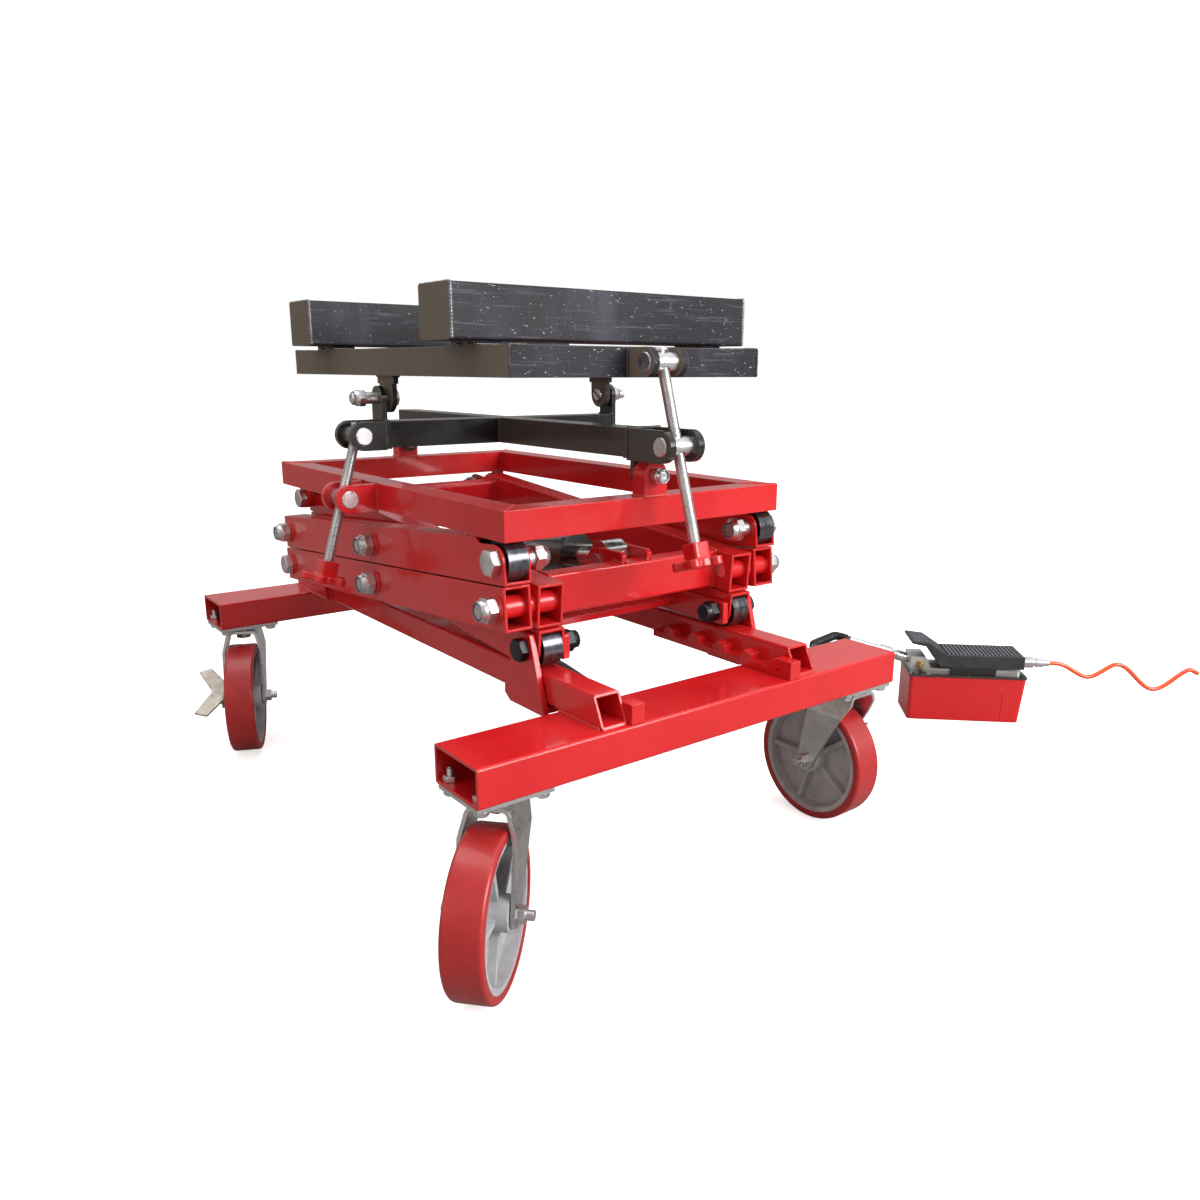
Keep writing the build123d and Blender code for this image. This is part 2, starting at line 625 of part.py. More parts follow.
def top_frame():
    pin_bore = PIN_RADIUS + RUNNING_GAP
    with BuildPart() as frame:
        ring_frame(FRAME_HALF_X, FRAME_FRONT, FRAME_REAR, FRAME_BOTTOM, FRAME_BAR, TUBE_WALL)
        for y in (FRAME_FRONT + 26, FRAME_REAR):
            ear(along_y(0, y, ROLL_Z), 40, 20, ROLL_Z - FRAME_TOP + 0.5, 26, 7 + RUNNING_GAP)
        cheek_x(ROLL_SCREW_NUT[0], -FRAME_HALF_X + 0.5, TILT_Y, ROLL_SCREW_NUT[1], CHEEK_RADIUS, pin_bore)
        for side in (-1, 1):
            with BuildSketch(along_x(side * (OUTER_LEG_X - LEG_WIDTH / 2 + 0.5), REAR_Y, HIGH_Z)):
                Circle(18)
                with Locations((0, 14)):
                    Rectangle(36, 29)
                Circle(BORE_RADIUS, mode=Mode.SUBTRACT)
            extrude(amount=side * PLATE)
    save(frame.part, "top_frame")


# --- tilting cross --------------------------------------------------------------------------
def pitch_plate(x, outward):
    """Upright at the end of a side arm, bored for the bed's pitch pivot."""
    with BuildSketch(along_x(x, TILT_Y, PITCH_Z)) as outline:
        Circle(18)
        with Locations((0, (CROSS_BOTTOM - PITCH_Z) / 2)):
            Rectangle(36, PITCH_Z - CROSS_BOTTOM)
        Circle(8 + RUNNING_GAP, mode=Mode.SUBTRACT)
    extrude(outline.sketch, amount=outward * PLATE)


def tilt_cross():
    pin_bore = PIN_RADIUS + RUNNING_GAP
    middle_z = (CROSS_BOTTOM + CROSS_TOP) / 2
    with BuildPart() as cross:
        block(-CROSS_HALF_X, CROSS_HALF_X, TILT_Y - 20, TILT_Y + 20, CROSS_BOTTOM, CROSS_TOP)
        block(-20, 20, CROSS_FRONT, CROSS_REAR, CROSS_BOTTOM, CROSS_TOP)
        inner = TUBE_WALL
        block(-CROSS_HALF_X + inner, CROSS_HALF_X - inner, TILT_Y - 20 + inner, TILT_Y + 20 - inner,
              CROSS_BOTTOM + inner, CROSS_TOP - inner, mode=Mode.SUBTRACT)
        block(-20 + inner, 20 - inner, CROSS_FRONT + inner, CROSS_REAR - inner,
              CROSS_BOTTOM + inner, CROSS_TOP - inner, mode=Mode.SUBTRACT)
        pitch_plate(-CROSS_HALF_X, -1)
        pitch_plate(CROSS_HALF_X, 1)
        for y in (CROSS_FRONT, CROSS_REAR + PLATE):
            with BuildSketch(along_y(0, y, ROLL_Z)):
                Circle(17)
                with Locations((0, (CROSS_TOP - ROLL_Z) / 2)):
                    Rectangle(34, CROSS_TOP - ROLL_Z)
                Circle(7 + RUNNING_GAP, mode=Mode.SUBTRACT)
            extrude(amount=PLATE)
        block(-30, 30, CROSS_FRONT - PLATE, CROSS_FRONT, CROSS_BOTTOM, CROSS_TOP + 1)
        cheek_x(ROLL_SCREW_TOP[0], -CROSS_HALF_X - PLATE + 0.5, TILT_Y, ROLL_SCREW_TOP[1],
                CHEEK_RADIUS, pin_bore)
        block(-CROSS_HALF_X - PLATE, -CROSS_HALF_X, TILT_Y - 30, TILT_Y + 30, middle_z - 21, middle_z + 21)
        cheek_y(PITCH_SCREW_NUT[0], CROSS_FRONT - PLATE + 0.5, PITCH_SCREW_NUT[1], CHEEK_RADIUS, pin_bore)
    save(cross.part, "tilt_cross")


def tilt_pivot_bolts():
    """Pitch pivots: the left one has a spacer and a lock nut outside, the right one a slotted head."""
    ear_face = CROSS_HALF_X - 8
    with BuildPart() as bolts:
        left = -ear_face + PLATE + 1
        bolt(TILT_Y, PITCH_Z, left, -264, radius=8, flats=24, head=8)
        with BuildSketch(along_x(-CROSS_HALF_X - PLATE, TILT_Y, PITCH_Z)):
            Circle(11)
            Circle(8 + RUNNING_GAP, mode=Mode.SUBTRACT)
        extrude(amount=-20)
        lock_nut(TILT_Y, PITCH_Z, -CROSS_HALF_X - PLATE - 20, -1, radius=8, flats=24, height=18)
        right = ear_face - PLATE - 1
        disc(along_x(right, TILT_Y, PITCH_Z), 11, -4)
        disc(along_x(right, TILT_Y, PITCH_Z), 8, 55)
        block(right - 5, right - 2.5, TILT_Y - 12, TILT_Y + 12, PITCH_Z - 1.2, PITCH_Z + 1.2,
              mode=Mode.SUBTRACT)
        lock_nut(TILT_Y, PITCH_Z, CROSS_HALF_X + PLATE, 1, radius=8, flats=24, height=18)
    save(bolts.part, "tilt_pivot_bolts")


# --- load bed -------------------------------------------------------------------------------
def table_frame():
    pin_bore = PIN_RADIUS + RUNNING_GAP
    with BuildPart() as table:
        ring_frame(TABLE_HALF_X, TABLE_FRONT, TABLE_REAR, TABLE_BOTTOM, FRAME_BAR, TUBE_WALL)
        for side in (-1, 1):
            with BuildSketch(along_x(side * (CROSS_HALF_X - 8), TILT_Y, PITCH_Z)):
                Circle(22)
                with Locations((0, (TABLE_BOTTOM - PITCH_Z) / 2)):
                    Rectangle(44, TABLE_BOTTOM - PITCH_Z + 1)
                with Locations((0, TABLE_BOTTOM - PITCH_Z - 6)):
                    Rectangle(56, 12)
                Circle(8 + 0.1, mode=Mode.SUBTRACT)
            extrude(amount=-side * PLATE)
            for y in LOAD_TUBE_Y:
                x0, x1 = sorted((side * (TABLE_HALF_X - FRAME_BAR), side * TABLE_HALF_X))
                block(x0, x1, y - 30, y + 30, TABLE_TOP - 0.5, TABLE_TOP + LOAD_TUBE_GAP)
        cheek_y(PITCH_SCREW_TOP[0], TABLE_FRONT + 0.5, PITCH_SCREW_TOP[1], 19.5, pin_bore)
    save(table.part, "table_frame")


def load_tubes():
    """Two closed box tubes across the bed: the faces that carry the load."""
    bottom = TABLE_TOP + LOAD_TUBE_GAP
    with BuildPart() as tubes:
        for y in LOAD_TUBE_Y:
            with BuildSketch(along_x(-LOAD_TUBE_HALF_LENGTH, y, bottom + LOAD_TUBE_HEIGHT / 2)):
                RectangleRounded(LOAD_TUBE_WIDTH, LOAD_TUBE_HEIGHT, EDGE_RADIUS)
            extrude(amount=2 * LOAD_TUBE_HALF_LENGTH)
            with BuildSketch(along_x(-LOAD_TUBE_HALF_LENGTH + 4, y, bottom + LOAD_TUBE_HEIGHT / 2)):
                Rectangle(LOAD_TUBE_WIDTH - 8, LOAD_TUBE_HEIGHT - 8)
            extrude(amount=2 * LOAD_TUBE_HALF_LENGTH - 8, mode=Mode.SUBTRACT)
    save(tubes.part, "load_tubes")


# --- tilt screws ----------------------------------------------------------------------------
def screw_plane(top, nut, in_x):
    """Plane on the top pivot, facing down the screw. in_x tells which plane the screw swings in."""
    run = nut[0] - top[0]
    drop = nut[1] - top[1]
    if in_x:
        return Plane(origin=(top[0], TILT_Y, top[1]), x_dir=(0, 1, 0), z_dir=(run, 0, drop))
    return Plane(origin=(0, top[0], top[1]), x_dir=(1, 0, 0), z_dir=(0, run, drop))


def cross_pin(name, point, in_x, hole_plane, slack=0):
    """Round pin across a clevis, bored square through its middle, with slack to one side of the screw."""
    half_length = CHEEK_GAP / 2 + CHEEK_THICKNESS + 1.5
    if in_x:
        centre = along_y(point[0], TILT_Y, point[1])
    else:
        centre = along_x(0, point[0], point[1])
    hole = Plane(origin=centre.origin, x_dir=hole_plane.x_dir, z_dir=hole_plane.z_dir)
    with BuildPart() as pin:
        disc(centre, PIN_RADIUS, half_length, both=True)
        width = 2 * (SCREW_RADIUS + NUT_CLEARANCE)
        with BuildSketch(hole):
            with Locations((0, slack / 2)):
                RectangleRounded(width, width + abs(slack), width / 2 - 0.01)
        extrude(amount=3 * PIN_RADIUS, both=True, mode=Mode.SUBTRACT)
        chamfer(pin.edges().filter_by(GeomType.CIRCLE).filter_by(
            lambda edge: abs(edge.radius - PIN_RADIUS) < 0.01), 1)
    save(pin.part, name)


KNOB_HUB = 27


def tilt_screw(rod_name, knob_name, plane, hub_distance):
    """Threaded rod with a collar at each side of its top pin, and the star knob on its lower end."""
    top_end = PIN_RADIUS + 6
    with BuildPart() as rod:
        disc(plane.offset(-top_end), SCREW_RADIUS, top_end + hub_distance + 30)
        disc(plane.offset(-PIN_RADIUS - 0.4), SCREW_RADIUS + 3, -4)
    save(rod.part, rod_name)
    with BuildPart() as knob:
        with BuildSketch(plane.offset(hub_distance)):
            RectangleRounded(KNOB_HUB, KNOB_HUB, 4)
        extrude(amount=24)
        with BuildSketch(plane.offset(hub_distance + 22)):
            Circle(23.5)
            with PolarLocations(27, 5):
                Circle(8.2)
        extrude(amount=12)
        fillet(knob.faces().sort_by(Axis(plane.origin, plane.z_dir))[-1].edges(), 2)
        disc(plane.offset(hub_distance - 1), SCREW_RADIUS + RUNNING_GAP, 32, mode=Mode.SUBTRACT)
    save(knob.part, knob_name)


def distance(a, b):
    return math.hypot(b[0] - a[0], b[1] - a[1])


def tilt_screws():
    roll = screw_plane(ROLL_SCREW_TOP, ROLL_SCREW_NUT, in_x=True)
    pitch = screw_plane(PITCH_SCREW_TOP, PITCH_SCREW_NUT, in_x=False)
    cross_pin("roll_screw_top_pin", ROLL_SCREW_TOP, True, roll)
    cross_pin("roll_screw_trunnion", ROLL_SCREW_NUT, True, roll, ROLL_NUT_SLACK)
    cross_pin("pitch_screw_top_pin", PITCH_SCREW_TOP, False, pitch)
    cross_pin("pitch_screw_trunnion", PITCH_SCREW_NUT, False, pitch, PITCH_NUT_SLACK)
    tilt_screw("roll_screw_rod", "roll_screw_knob", roll, distance(ROLL_SCREW_TOP, ROLL_SCREW_HUB))
    tilt_screw("pitch_screw_rod", "pitch_screw_knob", pitch, distance(PITCH_SCREW_TOP, PITCH_SCREW_HUB))


# --- hydraulic ram --------------------------------------------------------------------------
def hydraulic_ram():
    """Barrel, gland and rod in line. The rod's eye is slotted, so the ram can swing and slide."""
    base_y, base_z = RAM_BASE
    lean = math.radians(RAM_REST_ANGLE)
    slope = Plane(origin=(0, base_y, base_z), x_dir=(1, 0, 0), z_dir=(0, -math.cos(lean), math.sin(lean)))
    eye = Plane(origin=slope.offset(RAM_REST_LENGTH).origin, x_dir=slope.z_dir, z_dir=(1, 0, 0))
    barrel_end = RAM_REST_LENGTH - 95
    with BuildPart() as barrel:
        disc(slope, 16, 50)
        disc(slope.offset(45), BARREL_RADIUS, barrel_end - 45)
        disc(along_x(0, base_y, base_z), RAM_EYE_RADIUS, RAM_EYE_WIDTH / 2, both=True)
        disc(slope.offset(60), BARREL_BORE, barrel_end, mode=Mode.SUBTRACT)
        disc(along_x(0, base_y, base_z), RAM_PIN_RADIUS + RUNNING_GAP, RAM_EYE_WIDTH, both=True,
             mode=Mode.SUBTRACT)
    save(barrel.part, "ram_barrel")
    with BuildPart() as gland:
        with BuildSketch(slope.offset(barrel_end + 0.1)):
            Circle(BARREL_RADIUS + 2)
            Circle(ROD_RADIUS + RUNNING_GAP, mode=Mode.SUBTRACT)
        extrude(amount=14)
        with BuildSketch(slope.offset(barrel_end - 30)):
            Circle(BARREL_BORE - RUNNING_GAP)
            Circle(ROD_RADIUS + RUNNING_GAP, mode=Mode.SUBTRACT)
        extrude(amount=31)
    save(gland.part, "ram_gland")
    with BuildPart() as rod:
        disc(slope.offset(66), BARREL_BORE - RUNNING_GAP, 30)
        disc(slope.offset(90), ROD_RADIUS, RAM_REST_LENGTH - 90 - 20)
        disc(eye, RAM_EYE_RADIUS, RAM_EYE_WIDTH / 2, both=True)
        with BuildSketch(eye):
            RectangleRounded(*RAM_EYE_SLOT, RAM_PIN_RADIUS)
        extrude(amount=RAM_EYE_WIDTH, both=True, mode=Mode.SUBTRACT)
    save(rod.part, "ram_rod")
    outer = LUG_X + LUG_THICKNESS / 2
    _, head_y, head_z = ram_head()
    with BuildPart() as head_pin:
        disc(along_x(0, head_y, head_z), RAM_PIN_RADIUS, outer + 2, both=True)
        for side in (-1, 1):
            disc(along_x(side * (outer + 0.5), head_y, head_z), 15, side * 4)
    save(head_pin.part, "ram_head_pin")
    with BuildPart() as base_pin:
        disc(along_x(0, base_y, base_z), RAM_PIN_RADIUS, outer + 2, both=True)
        disc(along_x(outer + 0.2, base_y, base_z), 15, 4)
        disc(along_x(-outer - 0.2, base_y, base_z), 13, -20)
    save(base_pin.part, "ram_base_pin")


# --- casters --------------------------------------------------------------------------------
def caster_planes(x, y, turn):
    """Ground plane, side plane and front plane of one caster, turned about its kingpin."""
    trail = (math.cos(math.radians(turn)), math.sin(math.radians(turn)), 0)
    side = (trail[1], -trail[0], 0)
    ground = Plane(origin=(x, y, 0), x_dir=trail, z_dir=(0, 0, 1))
    profile = Plane(origin=(x, y, 0), x_dir=trail, z_dir=side)
    front = Plane(origin=(x, y, 0), x_dir=(-side[0], -side[1], 0), z_dir=trail)
    return ground, profile, front


FORK_TOP = BEAM_BOTTOM - CASTER_PLATE - 5
FORK_SHEET = 5
FORK_HALF_WIDTH = 33.5
FORK_FACE = FORK_HALF_WIDTH + FORK_SHEET / 2
AXLE_RADIUS = 6.25
PEDAL_THICKNESS = 5
PEDAL_TILT = 32


def caster_fork(name, x, y, turn):
    """Bent sheet fork with tapered legs, and its axle bolt and nut."""
    _, profile, front = caster_planes(x, y, turn)
    with BuildPart() as fork:
        with BuildSketch(front):
            with BuildLine():
                FilletPolyline((-FORK_HALF_WIDTH, 80), (-FORK_HALF_WIDTH, 190), (-24, FORK_TOP - 3),
                               (24, FORK_TOP - 3), (FORK_HALF_WIDTH, 190), (FORK_HALF_WIDTH, 80), radius=9)
            trace(line_width=FORK_SHEET)
        extrude(amount=110, both=True)
        with BuildSketch(profile):
            with BuildLine():
                Polyline((CASTER_TRAIL + 15, WHEEL_RADIUS - 4), (36, FORK_TOP + 5), (-36, FORK_TOP + 5),
                         (-36, 212), (CASTER_TRAIL - 15, WHEEL_RADIUS - 4))
                ThreePointArc((CASTER_TRAIL - 15, WHEEL_RADIUS - 4), (CASTER_TRAIL, WHEEL_RADIUS - 17),
                              (CASTER_TRAIL + 15, WHEEL_RADIUS - 4))
            make_face()
        extrude(amount=60, both=True, mode=Mode.INTERSECT)
        hub = Plane(origin=profile.from_local_coords((CASTER_TRAIL, WHEEL_RADIUS, 0)),
                    x_dir=profile.x_dir, z_dir=profile.z_dir)
        disc(hub, 6.3, 60, both=True, mode=Mode.SUBTRACT)
        disc(Plane((x, y, 200)), 6.5, 60, mode=Mode.SUBTRACT)
        disc(hub, AXLE_RADIUS, FORK_FACE + PEDAL_THICKNESS + 15, both=True)
        for side in (-1, 1):
            washer = PEDAL_THICKNESS + 1 if side > 0 and name in BRAKED else -0.2
            with BuildSketch(hub.offset(side * (FORK_FACE + washer))):
                hexagon(19)
            extrude(amount=side * 10)
    save(fork.part, f"fork_{name}")


def brake_pedal(name, x, y, turn):
    """Side pedal rocking on the axle: an arm against the fork leg and a fishtail step plate."""
    _, profile, _ = caster_planes(x, y, turn)
    lean = Vector(math.cos(math.radians(PEDAL_TILT)), math.sin(math.radians(PEDAL_TILT)))
    hub = profile.from_local_coords((CASTER_TRAIL, WHEEL_RADIUS, FORK_FACE + 0.5))
    along = profile.x_dir * lean.X - profile.y_dir * lean.Y
    arm = Plane(origin=hub, x_dir=along, z_dir=profile.z_dir)
    step = Plane(origin=arm.from_local_coords((0, 19, 0)), x_dir=along, z_dir=arm.y_dir)
    outward = 1 if step.y_dir.dot(profile.z_dir) > 0 else -1
    with BuildPart() as pedal:
        with BuildSketch(arm):
            Circle(14)
            with Locations((0, 10)):
                Rectangle(44, 26)
            Circle(AXLE_RADIUS + RUNNING_GAP, mode=Mode.SUBTRACT)
        extrude(amount=PEDAL_THICKNESS)
        with BuildSketch(step):
            with BuildLine():
                Polyline((-22, 0), (-58, outward * 26), (-50, outward * 48), (0, outward * 21),
                         (50, outward * 48), (58, outward * 26), (22, 0), close=True)
            make_face()
        extrude(amount=4)
    save(pedal.part, f"brake_pedal_{name}")


def caster_wheel(name, x, y, turn):
    """Ribbed cast wheel centre, with the tyre as a second piece."""
    _, profile, _ = caster_planes(x, y, turn)
    hub = Plane(origin=profile.from_local_coords((CASTER_TRAIL, WHEEL_RADIUS, 0)),
                x_dir=profile.x_dir, z_dir=profile.z_dir)
    seat = WHEEL_RADIUS - TREAD_THICKNESS
    with BuildPart() as centre:
        with BuildSketch(hub):
            Circle(seat - 0.05)
            Circle(seat - 8, mode=Mode.SUBTRACT)
        extrude(amount=WHEEL_WIDTH / 2 - 2, both=True)
        disc(hub, seat - 4, 4, both=True)
        disc(hub, 22, WHEEL_WIDTH / 2 + 4, both=True)
        with BuildSketch(hub):
            with PolarLocations((seat - 8 + 20) / 2, 5):
                Rectangle(seat - 26, 8)
        extrude(amount=15, both=True)
        disc(hub, AXLE_RADIUS + RUNNING_GAP, WHEEL_WIDTH, both=True, mode=Mode.SUBTRACT)
    save(centre.part, f"wheel_centre_{name}")
    with BuildPart() as tyre:
        with BuildSketch(hub):
            Circle(WHEEL_RADIUS)
            Circle(seat, mode=Mode.SUBTRACT)
        extrude(amount=WHEEL_WIDTH / 2, both=True)
        rims = tyre.edges().filter_by(GeomType.CIRCLE).filter_by(lambda edge: edge.radius > seat + 1)
        fillet(rims, 5)
    save(tyre.part, f"tyre_{name}")


def caster_plates():
    """Bolted top plates, each with its kingpin."""
    with BuildPart() as plates:
        for x, y, _ in CASTERS.values():
            block(x - 52, x + 52, y - 45, y + 45, BEAM_BOTTOM - CASTER_PLATE, BEAM_BOTTOM)
            disc(Plane((x, y, FORK_TOP - 20)), 6.4, 30)
            with BuildSketch(Plane((x, y, FORK_TOP - 20))):
                hexagon(24)
            extrude(amount=14)
            disc(Plane((x, y, FORK_TOP + 0.3)), 33, 5)
        for x, y in caster_bolt_points():
            disc(Plane((x, y, BEAM_BOTTOM - CASTER_PLATE - 1)), 5.05, CASTER_PLATE + 2, mode=Mode.SUBTRACT)
    save(plates.part, "caster_plates")


def caster_bolts():
    with BuildPart() as bolts:
        for x, y in caster_bolt_points():
            face = BEAM_BOTTOM - CASTER_PLATE
            with BuildSketch(Plane((x, y, face))):
                hexagon(16)
            extrude(amount=-7)
            disc(Plane((x, y, face - 1)), 5, 29)
    save(bolts.part, "caster_bolts")


# --- foot pump ------------------------------------------------------------------------------
PUMP_PLANE = Plane((PUMP_CENTRE[0], PUMP_CENTRE[1], 0)).rotated((0, 0, PUMP_TURN))
HOSE_PORT = Plane(origin=PUMP_PLANE.from_local_coords((-110, -4, PUMP_TOP + 19)),
                  z_dir=PUMP_PLANE.x_dir * -math.cos(math.radians(HOSE_RISE))
                  + PUMP_PLANE.z_dir * math.sin(math.radians(HOSE_RISE)))
AIR_PORT = Plane(origin=PUMP_PLANE.from_local_coords((119, -8, PUMP_TOP + 20)), z_dir=PUMP_PLANE.x_dir)


def pump_side(offset):
    """Side plane of the pump: local x along it, local y upwards, facing its operator."""
    return Plane(origin=PUMP_PLANE.from_local_coords((0, offset, 0)), x_dir=PUMP_PLANE.x_dir,
                 z_dir=-PUMP_PLANE.y_dir)


def pump_reservoir():
    """Open-topped tank, splayed at the air end, under a cover with the treadle's bracket."""
    with BuildPart() as tank:
        with BuildSketch(PUMP_PLANE):
            RectangleRounded(PUMP_LENGTH, PUMP_DEPTH, 8)
        with BuildSketch(PUMP_PLANE.offset(RESERVOIR_HEIGHT)):
            with Locations((PUMP_SPLAY / 2, 0)):
                RectangleRounded(PUMP_LENGTH + PUMP_SPLAY, PUMP_DEPTH, 8)
        loft()
        offset(amount=-2, openings=tank.faces().sort_by(Axis.Z)[-1])
    save(tank.part, "pump_reservoir")
    with BuildPart() as cover:
        with BuildSketch(PUMP_PLANE.offset(RESERVOIR_HEIGHT)):
            with Locations((PUMP_SPLAY / 2, 0)):
                RectangleRounded(PUMP_LENGTH + PUMP_SPLAY + 3, PUMP_DEPTH + 3, 8)
        extrude(amount=COVER_THICKNESS)
        for side in (-1, 1):
            with BuildSketch(pump_side(side * (TREADLE_HALF - 9))):
                with BuildLine():
                    Polyline((-24, PUMP_TOP), (65, PUMP_TOP), (65, PUMP_TOP + 12), (34, PUMP_TOP + 27),
                             (6, PUMP_TOP + 27), (-24, PUMP_TOP + 12), close=True)
                make_face()
                with Locations(TREADLE_AXLE):
                    Circle(TREADLE_PIN + RUNNING_GAP, mode=Mode.SUBTRACT)
            extrude(amount=2, both=True)
        with BuildSketch(PUMP_PLANE.offset(PUMP_TOP)):
            with Locations((-86, -46)):
                Circle(8)
        extrude(amount=7)
    save(cover.part, "pump_cover")


def pump_valve_head():
    """Valve block at the outlet end, joined to the air motor block under the treadle."""
    with BuildPart() as head:
        with BuildSketch(PUMP_PLANE.offset(PUMP_TOP)):
            with Locations((4, 0)):
                RectangleRounded(226, 60, 6)
        extrude(amount=7)
        with BuildSketch(pump_side(-30)):
            with BuildLine():
                Polyline((-109, PUMP_TOP), (-109, PUMP_TOP + 31), (-78, PUMP_TOP + 31), (-66, PUMP_TOP + 5),
                         (-66, PUMP_TOP), close=True)
            make_face()
        extrude(amount=-60)
        with BuildSketch(PUMP_PLANE.offset(PUMP_TOP)):
            with Locations((36, 0)):
                RectangleRounded(120, 44, 6)
        extrude(amount=22)
        disc(AIR_PORT.offset(-30), 6, 28)
        disc(HOSE_PORT.offset(-6), 8.1, 20, mode=Mode.SUBTRACT)
        with BuildSketch(pump_side(0)):
            with Locations(TREADLE_AXLE):
                Circle(TREADLE_PIN + 0.3)
        extrude(amount=40, both=True, mode=Mode.SUBTRACT)
    save(head.part, "pump_valve_head")
    with BuildPart() as plug:
        with BuildSketch(pump_side(-30.1)):
            with Locations((-88, PUMP_TOP + 15)):
                RegularPolygon(8, 6)
        extrude(amount=5)
        with BuildSketch(pump_side(-35)):
            with Locations((-88, PUMP_TOP + 15)):
                Circle(5)
        extrude(amount=6)
    save(plug.part, "pump_brass_plug")


def pump_treadle():
    """Hollow ribbed foot treadle with an upturned toe, and the pin it rocks on."""
    base = PUMP_TOP
    half = TREADLE_HALF
    with BuildPart() as treadle:
        with BuildSketch(pump_side(-half)):
            with BuildLine():
                Polyline((118, base + 14), (118, base + 40), (-38, base + 40), (-74, base + 64),
                         (-110, base + 68), (-111, base + 63), (-80, base + 57), (-50, base + 14), close=True)
            make_face()
        extrude(amount=-2 * half)
        with BuildSketch(pump_side(-half + 4)):
            with BuildLine():
                Polyline((114, base + 12), (114, base + 35), (-36, base + 35), (-50, base + 44), (-45, base + 12),
                         close=True)
            make_face()
        extrude(amount=-2 * half + 8, mode=Mode.SUBTRACT)
        with BuildSketch(pump_side(-half + 7)):
            with GridLocations(TREADLE_RIB_PITCH, 1, 19, 1):
                with Locations((36, base + 39.5)):
                    Rectangle(3.5, 3)
        extrude(amount=-2 * half + 14, mode=Mode.SUBTRACT)
        disc(AIR_PORT.offset(-20), 14, 30, mode=Mode.SUBTRACT)
        with BuildSketch(pump_side(0)):
            with Locations(TREADLE_AXLE):
                Circle(TREADLE_PIN)
        extrude(amount=half, both=True)
    save(treadle.part, "pump_treadle")


# --- hoses ----------------------------------------------------------------------------------
def inlet_point(distance_out):
    """Point on the line the hydraulic hose follows into the pump."""
    return HOSE_PORT.offset(distance_out).origin


def hose_bends():
    base_y, base_z = RAM_BASE
    return [(-53, base_y, base_z), (-120, 350, 312), (-120, -312, 312), (-58, -403, 252), (190, -399, 238),
            (400, -335, 240), (575, -190, 190), inlet_point(160), inlet_point(FERRULE_END)]


def hydraulic_hose():
    """Hose from the ram's base pin, along the left rail and behind the front beam, to the pump."""
    with BuildPart() as hose:
        with BuildLine() as route:
            FilletPolyline(*hose_bends(), radius=HOSE_BEND)
        with BuildSketch(route.line ^ 0):
            Circle(HOSE_RADIUS)
        sweep()
    save(hose.part, "hydraulic_hose")
    before, last_bend, arch = [Vector(*point) for point in hose_bends()[5:8]]
    with BuildPart() as guard:
        with BuildLine() as route:
            FilletPolyline(last_bend + (before - last_bend) * 0.3, last_bend, arch, inlet_point(133),
                           radius=HOSE_BEND)
        with BuildSketch(route.line ^ 0):
            Circle(GUARD_RADIUS)
            Circle(HOSE_RADIUS + 0.1, mode=Mode.SUBTRACT)
        sweep()
    save(guard.part, "hose_guard")


def hose_couplers():
    """Stepped quick couplers of the hydraulic hose and of the air line."""
    with BuildPart() as couplers:
        for reach, radius, length in ((-5, 8, 24), (6, 11, 20), (26, 8.5, 14), (38, 12, 24), (62, 9, 11),
                                      (72, 7.5, FERRULE_END - 72)):
            disc(HOSE_PORT.offset(reach), radius, length)
        for reach, radius, length in ((-1.5, 6, 8), (6, 11.5, 20), (26, 7.5, 8), (32, 9.5, 14), (46, 7, 13)):
            disc(AIR_PORT.offset(reach), radius, length)
    save(couplers.part, "hose_couplers")


def air_hose():
    """Recoil hose from the air coupler, hanging in loose waves."""
    start = AIR_PORT.offset(59).origin
    points = [start + Vector(*AIR_HOSE_DIRECTION, 0) * run + Vector(0, 0, drop) for run, drop in AIR_HOSE_WAVE]
    with BuildPart() as hose:
        with BuildLine() as route:
            Spline(*points, tangents=(AIR_PORT.z_dir, Vector(*AIR_HOSE_DIRECTION, -0.4)))
        with BuildSketch(route.line ^ 0):
            Circle(AIR_HOSE_RADIUS)
        sweep()
    save(hose.part, "air_hose")


def build_all():
    base_frame()
    lock_racks()
    lower_outer_legs()
    upper_outer_legs()
    lower_inner_legs()
    upper_inner_legs()
    for side, x_sign in (("left", -1), ("right", 1)):
        leg_roller(f"upper_roller_{side}", x_sign * OUTER_LEG_X, HIGH_Z)
        leg_roller(f"lower_roller_{side}", x_sign * INNER_LEG_X, LOW_Z)
    base_pivot_bolts()
    lower_leg_bolts()
    upper_leg_bolts()
    top_pivot_bolts()
    carriage_keepers()
    lock_frame()
    carriage_bolts()
    top_frame()
    tilt_cross()
    tilt_pivot_bolts()
    table_frame()
    load_tubes()
    tilt_screws()
    hydraulic_ram()
    caster_plates()
    caster_bolts()
    for name, (x, y, turn) in CASTERS.items():
        caster_fork(name, x, y, turn)
        caster_wheel(name, x, y, turn)
        if name in BRAKED:
            brake_pedal(name, x, y, turn)
    pump_reservoir()
    pump_valve_head()
    pump_treadle()
    hydraulic_hose()
    hose_couplers()
    air_hose()


build_all()
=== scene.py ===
"""Looks of the rolling scissor lift table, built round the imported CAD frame."""
import json
import math

import bmesh
import bpy
from mathutils import Matrix, Vector

